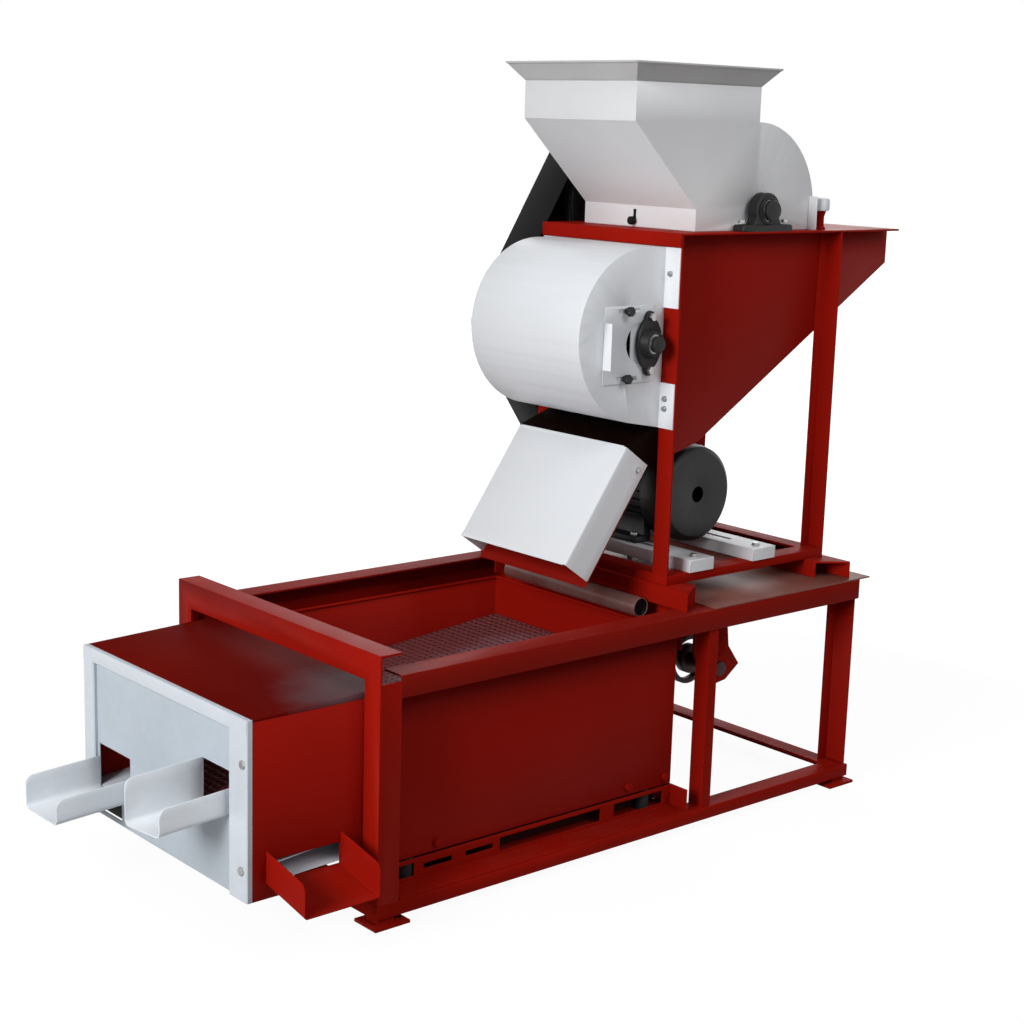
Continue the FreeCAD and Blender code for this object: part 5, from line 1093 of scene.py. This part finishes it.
@dataclass
class Fasteners:
    """Hexagon bolts with washers, small screws and fluted knobs."""

    shop: Workshop
    washer: float = 1.6
    screw_flats: float = 9.0
    knob_flutes: int = 8

    def bolt(self, seat: np.ndarray, direction: Sequence[float], flats: float, height: float) -> list[Patch]:
        """Bolt head on a washer whose rim is rounded.

        Args:
            seat: Middle of the seat.
            direction: Way that the head points.
            flats: Width over the flats.
            height: Height over all.

        Returns:
            The patches.
        """
        way = np.asarray(direction, float)
        rim = flats * 0.62
        disc = turned(seat, direction, [(rim - 0.4, 0.0), (rim, 0.4), (rim, self.washer - 0.4),
                                        (rim - 0.4, self.washer)], 32)
        top = seat + way * (self.washer - 0.05) * MILLI
        return [disc, hexagon(top, direction, flats, height - self.washer)]

    def heads(self, name: str, body: str) -> None:
        """Puts a hexagon head with its washer in place of each solid of a node.

        Args:
            name: Node of bolts.
            body: Body that carries them.
        """
        plain, painted = [], []
        for low, high in solids_of(frame["nodes"][name]):
            size = (high - low) / MILLI
            axis = int(np.argmin(size))
            way = np.zeros(3)
            way[axis] = 1.0 if axis == 2 else -1.0
            seat = (low + high) / 2
            seat[axis] = low[axis] if axis == 2 else high[axis]
            heads = self.bolt(seat, way, float(np.sort(size)[1]) * 0.93, float(size[axis]))
            (painted if axis == 1 else plain).extend(heads)
        self.shop.piece(f"{name}_turned", plain, body, Slot.BOLT, [name])
        if painted:
            self.shop.piece(f"{name}_painted", painted, body, Slot.RED)

    def screws(self) -> None:
        """Small screws on the blower strips and the chute cover."""
        strips = [at(743.0, -212.0, height) for height in (1074.0, 838.0, 819.0)]
        patches = [patch for seat in strips for patch in self.bolt(seat, (-1.0, 0.0, 0.0), self.screw_flats, 5.0)]
        patches += self.bolt(at(693.0, -197.0, 703.0), (0.0, -1.0, 0.0), self.screw_flats, 5.0)
        self.shop.piece("sheet_screws", patches, "frame", Slot.BOLT)

    def knob(self, name: str) -> None:
        """Knob with flutes round its rim, a waist and a dished face.

        Args:
            name: Body of the knob, as in its node's name.
        """
        joint = JOINTS[f"{name}_turn"]["pos_m"]
        low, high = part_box(f"clamp_{name}")
        reach = (high.x - low.x) / 2 / MILLI
        face = np.array([joint[0], low.y, joint[2]])
        profile = [(0.01, 1.6), (reach * 0.45, 1.2), (reach * 0.6, 0.2), (reach * 0.85, 0.4), (reach, 2.6),
                   (reach, 7.5), (reach * 0.82, 11.0), (reach * 0.62, 12.0), (reach * 0.66, 16.0), (0.01, 16.0)]
        grip = turned(face, (0.0, 1.0, 0.0), profile, 64, self.knob_flutes, 0.06)
        stud = turned(face + np.array([0.0, 15.9, 0.0]) * MILLI, (0.0, 1.0, 0.0),
                      [(2.9, 0.0), (2.9, (high.y - low.y) / MILLI - 16.4), (2.4, (high.y - low.y) / MILLI - 15.95)], 20)
        self.shop.piece(f"{name}_fluted", [grip, stud], name, Slot.KNOB, [f"clamp_{name}"])

    def build(self) -> None:
        """Makes all the fasteners."""
        self.heads("frame_bolts", "frame")
        self.heads("sieve_bolts", "sieve_box")
        self.screws()
        self.knob("knob_lower")
        self.knob("knob_upper")


@dataclass
class Bearings:
    """Pillow blocks and flange bearings with their rings, collars, nipples and bolts."""

    shop: Workshop
    base_share: float = 0.84
    dome: float = 34.0
    foot: float = 13.0
    flange_bolts: float = 50.0
    flange_lobe: float = 11.0

    def pillow(self, name: str, outward: float) -> None:
        """Cast pillow block: a foot with round ends, an arch and a bearing ring on its outer face.

        Args:
            name: Node that it replaces.
            outward: Minus one at the front and one at the rear.
        """
        low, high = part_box(name)
        axis = JOINTS["drum_spin"]["pos_m"]
        middle = np.array([axis[0], (low.y + high.y) / 2, low.z])
        wide = (high.y - low.y) / MILLI
        half = (high.x - low.x) / 2 / MILLI * self.base_share
        rise = (axis[2] - low.z) / MILLI
        angle = np.linspace(0.0, 2 * math.pi, 96, endpoint=False)
        power = 0.28
        reach_u = half * np.sign(np.cos(angle)) * np.abs(np.cos(angle)) ** power
        reach_v = wide / 2 * np.sign(np.sin(angle)) * np.abs(np.sin(angle)) ** power
        rows = ((0.99, 0.0), (1.0, 1.0), (1.0, self.foot - 4), (0.985, self.foot - 1.5), (0.93, self.foot))
        foot = np.stack([middle + np.stack([reach_u * share, reach_v * share, np.full(96, height)], axis=-1) * MILLI
                         for share, height in rows])
        centre = np.array([axis[0], 0.0, axis[2]])
        turn = np.linspace(-0.12 * math.pi, 1.12 * math.pi, 40)
        arch_x = np.concatenate([[self.dome * 1.25], self.dome * np.cos(turn), [-self.dome * 1.25]])
        arch_z = np.concatenate([[2.0 - rise], self.dome * np.sin(turn), [2.0 - rise]])
        shares = ((0.90, -0.5), (1.0, -0.38), (1.0, 0.38), (0.90, 0.5))
        body_half = wide * 0.36
        arch = np.stack([centre + np.stack([arch_x * share, np.full(42, middle[1] / MILLI + side * 2 * body_half),
                                            arch_z * share], axis=-1) * MILLI for share, side in shares])
        patches = [grid(foot), grid(arch)]
        face = np.array([axis[0], middle[1] + outward * body_half * MILLI, axis[2]])
        ring = turned(face, (0.0, outward, 0.0), [(27.0, -1.0), (27.0, 1.4), (25.0, 2.4), (22.0, 2.4), (21.0, -1.0)])
        insert = turned(face, (0.0, outward, 0.0), [(20.6, -1.0), (20.6, 0.8), (18.2, 1.2), (17.8, 4.6)])
        self.shop.piece(f"{name}_cast", patches + [ring], "frame", Slot.IRON, [name])
        self.shop.piece(f"{name}_insert", [insert], "frame", Slot.STEEL)
        top = np.array([axis[0], middle[1], axis[2] + (self.dome - 0.6) * MILLI])
        nipple = turned(top, (0.25, 0.0, 1.0), [(3.2, -1.0), (3.2, 0.8), (1.8, 0.9), (1.5, 1.3), (2.0, 1.8), (0.8, 2.4)],
                        20)
        self.shop.piece(f"{name}_nipple", [nipple], "frame", Slot.BOLT)

    def flange(self) -> None:
        """Front and rear flange bearings of the blower: an oval flange, a boss, a ring and two bolts."""
        axis = JOINTS["fan_spin"]["pos_m"]
        low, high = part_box("fan_bearings")
        angle = np.linspace(0.0, 2 * math.pi, 120, endpoint=False)
        lobe = self.flange_lobe
        slope = np.abs(np.sin(angle))
        tip = self.flange_bolts * slope + np.sqrt(np.maximum(lobe**2 - (self.flange_bolts * np.cos(angle)) ** 2, 0.0))
        oval = np.maximum(np.where(np.abs(self.flange_bolts * np.cos(angle)) < lobe, tip, 0.0),
                          31.0 / np.maximum(np.sqrt(np.cos(angle) ** 2 + (0.62 * np.sin(angle)) ** 2), 0.3))
        patches, bolts, rings = [], [], []
        for outward, seat in ((-1.0, low.y + 31.0 * MILLI), (1.0, high.y - 26.0 * MILLI)):
            place = np.array([axis[0], seat, axis[2]])
            way = (0.0, outward, 0.0)
            patches.append(outlined(place, way, oval, ((0.97, 0.0), (1.0, 1.5), (1.0, 7.0), (0.96, 9.0), (0.8, 9.4))))
            patches.append(turned(place, way, [(29.0, 8.0), (28.5, 11.0), (25.0, 15.0), (24.0, 22.0), (22.5, 24.0),
                                               (19.5, 24.0), (19.0, 20.0)]))
            rings.append(turned(place, way, [(18.6, 19.0), (18.6, 21.4), (15.0, 22.0), (14.6, 25.6), (13.0, 25.9)]))
            for side in (-1.0, 1.0):
                bolt_seat = place + np.array([0.0, outward * 9.2, side * self.flange_bolts]) * MILLI
                bolts.append(hexagon(bolt_seat, way, 14.0, 8.0))
        self.shop.piece("fan_bearings_cast", patches, "frame", Slot.IRON, ["fan_bearings"])
        self.shop.piece("fan_bearing_rings", rings, "frame", Slot.STEEL)
        self.shop.piece("fan_bearing_bolts", bolts, "frame", Slot.BOLT)

    def caps(self) -> None:
        """Pressed caps over the front ends of the drum and blower shafts; each is a cup with a rounded rim."""
        cups = []
        for joint, shaft in (("drum_spin", "drum_shaft"), ("fan_spin", "fan_shaft")):
            axis = JOINTS[joint]["pos_m"]
            low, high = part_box(shaft)
            bore = (high.x - low.x) / 2 / MILLI + 0.6
            mouth = np.array([axis[0], low.y + 9.0 * MILLI, axis[2]])
            cups.append(turned(mouth, (0.0, -1.0, 0.0), [
                (bore, 0.0), (bore + 2.4, 0.0), (bore + 2.8, 1.5), (bore + 2.6, 6.5), (bore, 9.4), (bore * 0.6, 10.3),
                (0.01, 10.6), (0.01, 9.5), (bore - 1.0, 9.5), (bore, 8.0)]))
        self.shop.piece("shaft_caps", cups, "frame", Slot.IRON)

    def build(self) -> None:
        """Makes all the bearings."""
        self.pillow("pillow_block_front", -1.0)
        self.pillow("pillow_block_rear", 1.0)
        self.flange()
        self.caps()


@dataclass
class HopperTrim:
    """Hem of the hopper rim, and the lugs and clamp nuts that hold the drum cover down."""

    shop: Workshop
    hem: float = 2.2
    clamp_place: tuple = (1172.0, 1150.0)
    clamp_sides: tuple = (-202.0, 116.0)

    def rim(self) -> None:
        """Rolls a wire hem round the top of the rim."""
        low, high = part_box("hopper_rim")
        inset = self.hem * MILLI
        corners = [np.array([x, y, high.z - inset]) for x, y in (
            (low.x + inset, low.y + inset), (high.x - inset, low.y + inset),
            (high.x - inset, high.y - inset), (low.x + inset, high.y - inset))]
        bars = [capsule(corner, corners[(turn + 1) % 4], self.hem, sides=12) for turn, corner in enumerate(corners)]
        self.shop.piece("hopper_rim_hem", bars, "frame", Slot.HOPPER)

    def clamps(self) -> None:
        """Clamp nuts with a waisted stem and a domed cap, each beside the lug that it holds."""
        x, z = self.clamp_place
        stems, caps, lugs = [], [], []
        for y in self.clamp_sides:
            foot = at(x, y, z)
            stems.append(turned(foot, (0.0, 0.0, 1.0), [(12.0, 0.0), (12.0, 3.0), (8.5, 8.0), (8.5, 26.0), (12.0, 37.5)], 40))
            caps.append(turned(foot, (0.0, 0.0, 1.0), [(13.0, 37.0), (17.0, 38.0), (18.0, 41.0), (18.0, 57.0),
                                                       (16.5, 61.0), (12.0, 62.8), (0.01, 63.2)], 48, 12, 0.02))
            lugs.append(bar(at(1142.0, y - 6.0, 1150.5), at(1142.0, y - 6.0, 1216.0), (0.0, 1.0, 0.0), 22.0, 2.4, 1.1))
        self.shop.piece("hopper_clamp_stems", stems, "frame", Slot.RED)
        self.shop.piece("hopper_clamp_caps", caps, "frame", Slot.WHITE)
        self.shop.piece("hopper_lugs", lugs, "frame", Slot.HOPPER)

    def build(self) -> None:
        """Makes the trim."""
        self.rim()
        self.clamps()


@dataclass
class SieveTrim:
    """Wired edges of the sieve box, folds and strips of its end plate, painted shade strips behind the sill windows,
    frame skirts and the perforated tray.
    """

    shop: Workshop
    wire: float = 3.2
    fold: float = 26.0
    front_strip: float = 54.0
    rear_strip: float = 34.0
    # Place of the painted shade strips behind the sill windows.
    shade_sheet_half: float = 237.0
    shade_sheet_low: float = 41.0
    shade_sheet_high: float = 106.0
    sill_end: tuple = (196.0, 316.0)
    skirt: float = 34.0
    cross_plug: float = 268.0
    tray_sheet: float = 1.8
    tray_pitch: float = 15.0
    tray_hole: float = 3.2

    def tray(self) -> None:
        """Perforated upper tray, which falls evenly towards the spouts."""
        low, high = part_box("upper_tray")
        length, width = (high.x - low.x) / MILLI, (high.y - low.y) / MILLI
        fall = (high.z - low.z) / MILLI - self.tray_sheet

        def corner_at(along: np.ndarray, across: np.ndarray) -> np.ndarray:
            """Place of a point of the tray."""
            rise = along / length * fall + self.tray_sheet / 2
            return np.stack([low.x + along * MILLI, low.y + across * MILLI, low.z + rise * MILLI], axis=-1)

        cells = (int(length / self.tray_pitch), int(width / self.tray_pitch))
        sheet = holed_sheet(corner_at, length, width, cells, self.tray_hole)
        self.shop.piece("upper_tray_sheet", [sheet], "sieve_box", Slot.ZINC, ["upper_tray"], self.tray_sheet)

    def shade_sheets(self) -> None:
        """Painted shade: near-black strips behind the windows of the sills, inside the rubber mounts, and a near-black
        bar in the gap under the low spout; also red bars at the sill ends.
        """
        low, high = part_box("sieve_sills")
        middle = (self.shade_sheet_low + self.shade_sheet_high) / 2
        start, end = ((x - FRAME_ZERO[0]) / MILLI for x in (low.x, high.x))
        bars = [bar(at(start + 10.0, side * self.shade_sheet_half, middle), at(end - 12.0, side * self.shade_sheet_half, middle),
                    (0.0, 0.0, 1.0), self.shade_sheet_high - self.shade_sheet_low, 2.0, 0.9) for side in (-1, 1)]
        self.shop.piece("sill_shade_sheets", bars, "frame", Slot.RED)
        ends = [bar(at(end + 1.1, side * self.sill_end[0], 63.5), at(end + 1.1, side * self.sill_end[1], 63.5),
                    (0.0, 0.0, 1.0), 45.0, 2.0, 0.9) for side in (-1, 1)]
        self.shop.piece("sill_ends", ends, "frame", Slot.RED)
        # Near-black bar in the gap between the end plate and the bottom pan under the low spout: painted shade.
        low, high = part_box("low_spout")
        gap_shade_x = (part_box("end_plate")[1].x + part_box("bottom_pan")[0].x) / 2
        near, far = low.y - 0.02, high.y + 0.02
        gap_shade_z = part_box("end_plate")[0].z + 0.022
        lip = bar(np.array([gap_shade_x, near, gap_shade_z]), np.array([gap_shade_x, far, gap_shade_z]), (0.0, 0.0, 1.0), 42.0, 2.0, 0.9)
        self.shop.piece("pan_gap_shade", [lip], "sieve_box", Slot.BLACK)

    def skirts(self) -> None:
        """Lower part of the rear top rail's flange, the strip below the rolled lip and the cross member's plugs."""
        rail_low, rail_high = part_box("top_rails")
        deep = self.skirt * MILLI
        z = rail_low.z - deep / 2 + MILLI
        y = rail_high.y - 2.5 * MILLI
        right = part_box("middle_posts")[0].x
        patches = [bar(np.array([rail_low.x, y, z]), np.array([right, y, z]), (0.0, 0.0, 1.0), self.skirt, 5.0, 2.0)]
        box_low, box_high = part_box("sieve_walls")
        x = (box_high.x + right) / 2
        wide = box_high.y - 8 * MILLI
        z = rail_low.z - 10 * MILLI
        patches.append(bar(np.array([x, box_low.y + 8 * MILLI, z]), np.array([x, wide, z]), (0.0, 0.0, 1.0), 78.0, 3.0, 1.4))
        for side in (-1.0, 1.0):
            y = side * self.cross_plug
            patches.append(bar(at(767.0, y, 402.0), at(767.0, y, 474.0), (1.0, 0.0, 0.0), 54.0, 3.0, 1.4))
        self.shop.piece("frame_skirts", patches, "frame", Slot.RED)

    def wires(self) -> None:
        """Round wires in the top edges of the open box."""
        low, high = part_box("sieve_walls")
        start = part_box("sieve_cover")[1].x
        inset = self.wire * MILLI
        z = high.z - inset * 0.7
        front, rear = low.y + inset, high.y - inset
        right = high.x - inset
        bars = [
            capsule(np.array([start, front, z]), np.array([right, front, z]), self.wire, sides=14),
            capsule(np.array([start, rear, z]), np.array([right, rear, z]), self.wire, sides=14),
            capsule(np.array([right, front, z]), np.array([right, rear, z]), self.wire, sides=14),
        ]
        self.shop.piece("sieve_wires", bars, "sieve_box", Slot.RED)

    def strips(self) -> None:
        """Rounded strips along the front, rear and top of the end plate."""
        low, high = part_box("end_plate")
        face = low.x + 1.0 * MILLI
        inset = 1.0 * MILLI

        def upright(edge: float, inward: float, width: float) -> Patch:
            """Upright strip that starts at an edge of the plate."""
            y = edge + inward * width / 2 * MILLI
            return bar(np.array([face, y, low.z + inset]), np.array([face, y, high.z - inset]), (0.0, 1.0, 0.0),
                       width, 7.0, 3.4)

        top_z = high.z - self.fold / 2 * MILLI
        top = bar(np.array([face, low.y + inset, top_z]), np.array([face, high.y - inset, top_z]), (0.0, 0.0, 1.0),
                  self.fold, 6.6, 3.2)
        patches = [upright(low.y, 1.0, self.front_strip), upright(high.y, -1.0, self.rear_strip), top]
        self.shop.piece("end_plate_strips", patches, "sieve_box", Slot.ZINC)

    def build(self) -> None:
        """Makes the trim."""
        self.wires()
        self.strips()
        self.shade_sheets()
        self.skirts()
        self.tray()


@dataclass
class MotorTrim:
    """Guard rings of the fan cowl, ends of the motor rails and the tab below one of them."""

    shop: Workshop
    rings: int = 7
    first_ring: float = 20.0
    ring_pitch: float = 9.5

    def grille(self) -> None:
        """Concentric rings on the cowl's face, with spokes between them."""
        low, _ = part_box("motor_cowl")
        axis = JOINTS["motor_spin"]["pos_m"]
        face = np.array([axis[0], low.y + 0.9 * MILLI, axis[2]])
        angle = np.linspace(0.0, 2 * math.pi, 64, endpoint=False)
        section = np.linspace(0.0, 2 * math.pi, 9)[:-1]
        patches = []
        for step in range(self.rings):
            reach = self.first_ring + step * self.ring_pitch
            ring = (reach + 1.6 * np.cos(section))[None, :] * MILLI
            rows = np.stack([face[0] + ring * np.cos(angle)[:, None], face[1] + 0.9 * MILLI * np.sin(section)[None, :]
                             * np.ones((64, 1)), face[2] + ring * np.sin(angle)[:, None]], axis=-1)
            patches.append(grid(np.concatenate([rows, rows[:1]]), caps=False))
        self.shop.piece("cowl_grille", patches, "frame", Slot.BLACK)

    def lip_plug(self) -> None:
        """Dark plug in the front end of the rolled lip, dished in its middle."""
        low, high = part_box("rolled_lip")
        middle = np.array([(low.x + high.x) / 2, low.y, (low.z + high.z) / 2])
        reach = (high.x - low.x) / 2 / MILLI - 2.2
        plug = turned(middle, (0.0, 1.0, 0.0), [(0.01, 3.0), (reach * 0.7, 3.0), (reach * 0.85, 1.0), (reach, 1.2),
                                                (reach, 8.0), (0.01, 8.0)])
        self.shop.piece("lip_plug", [plug], "frame", Slot.BLACK)

    def rail_ends(self) -> None:
        """Closes the motor rails with plates whose edges are round, and hangs a tab below the left one."""
        low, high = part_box("motor_rails")
        half = (high.x - low.x) / 2
        width = 66.0
        patches = []
        for x in (low.x + width / 2 * MILLI, high.x - width / 2 * MILLI):
            for y in (low.y + 1.2 * MILLI, high.y - 1.2 * MILLI):
                patches.append(bar(np.array([x, y, low.z + 0.4 * MILLI]), np.array([x, y, high.z - 0.3 * MILLI]),
                                   (1.0, 0.0, 0.0), width - 1.0, 2.2, 1.0))
        patches.append(bar(at(838.0, -41.0, 456.0), at(838.0, -41.0, 495.5), (0.0, 1.0, 0.0), 16.0, 2.4, 1.1))
        LOG.info("rails reach %.3f m to each side", half)
        self.shop.piece("motor_rail_ends", patches, "frame", Slot.WHITE)

    def build(self) -> None:
        """Makes the trim."""
        self.grille()
        self.lip_plug()
        self.rail_ends()


@dataclass
class Welds:
    """Rippled weld beads where the frame's bars meet."""

    shop: Workshop
    radius: float = 2.4
    ripple: float = 0.28
    reach: float = 30.0

    def build(self) -> None:
        """Lays the beads on both sides of the machine."""
        patches = []
        low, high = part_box("base_frame")
        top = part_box("top_rails")[0].z
        deep = self.reach * MILLI
        for name in ("portal_frame", "middle_posts", "end_legs"):
            start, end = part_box(name)
            for y, inward in ((start.y, 1.0), (end.y, -1.0)):
                for x in (start.x, end.x):
                    if low.x < x < high.x:
                        foot = np.array([x, y + inward * 0.002, high.z])
                        patches.append(capsule(foot, foot + np.array([0.0, inward * deep, 0.0]), self.radius, self.ripple))
                        head = np.array([x, y + inward * 0.002, top])
                        patches.append(capsule(head, head + np.array([0.0, inward * deep, 0.0]), self.radius, self.ripple))
        self.shop.piece("frame_welds", patches, "frame", Slot.RED)


@dataclass
class CarriedNodes:
    """CAD nodes that stay as they are and get their finish and softened edges."""

    kit: Kit
    edge: float = 0.0008
    sharp_angle: float = 32.0
    plain_edges: tuple = ("kernel_screen",)

    def soften(self, node: bpy.types.Object) -> None:
        """Welds the loose triangles, rounds the sharp edges and smooths the rest.

        Args:
            node: A CAD node's object.
        """
        smooth = np.ones(len(node.data.polygons), dtype=bool)
        node.data.polygons.foreach_set("use_smooth", smooth)
        weld = node.modifiers.new("weld", "WELD")
        weld.merge_threshold = 0.00001
        bevel = node.modifiers.new("edge", "BEVEL")
        bevel.width = self.edge
        bevel.segments = 2
        bevel.limit_method = "ANGLE"
        bevel.angle_limit = math.radians(self.sharp_angle)
        bevel.harden_normals = True

    def build(self) -> None:
        """Dresses every node by its slot in the record."""
        for row in frame["record"]["subparts"]:
            node = frame["nodes"][row["node"]]
            self.kit.dress(node, Slot(row["material_slot"]), row["node"])
            self.soften(node)
            LOG.info("dressed %s", row["node"])


def main() -> None:
    """Builds the studio and the pieces in order."""
    logging.basicConfig(level=logging.INFO)
    kit = Kit()
    shop = Workshop(kit)
    Studio().build()
    CarriedNodes(kit).build()
    for part in (FoldedSheets, Fasteners, Bearings, HopperTrim, SieveTrim, MotorTrim, Welds):
        part(shop).build()


if __name__ == "__main__":
    main()
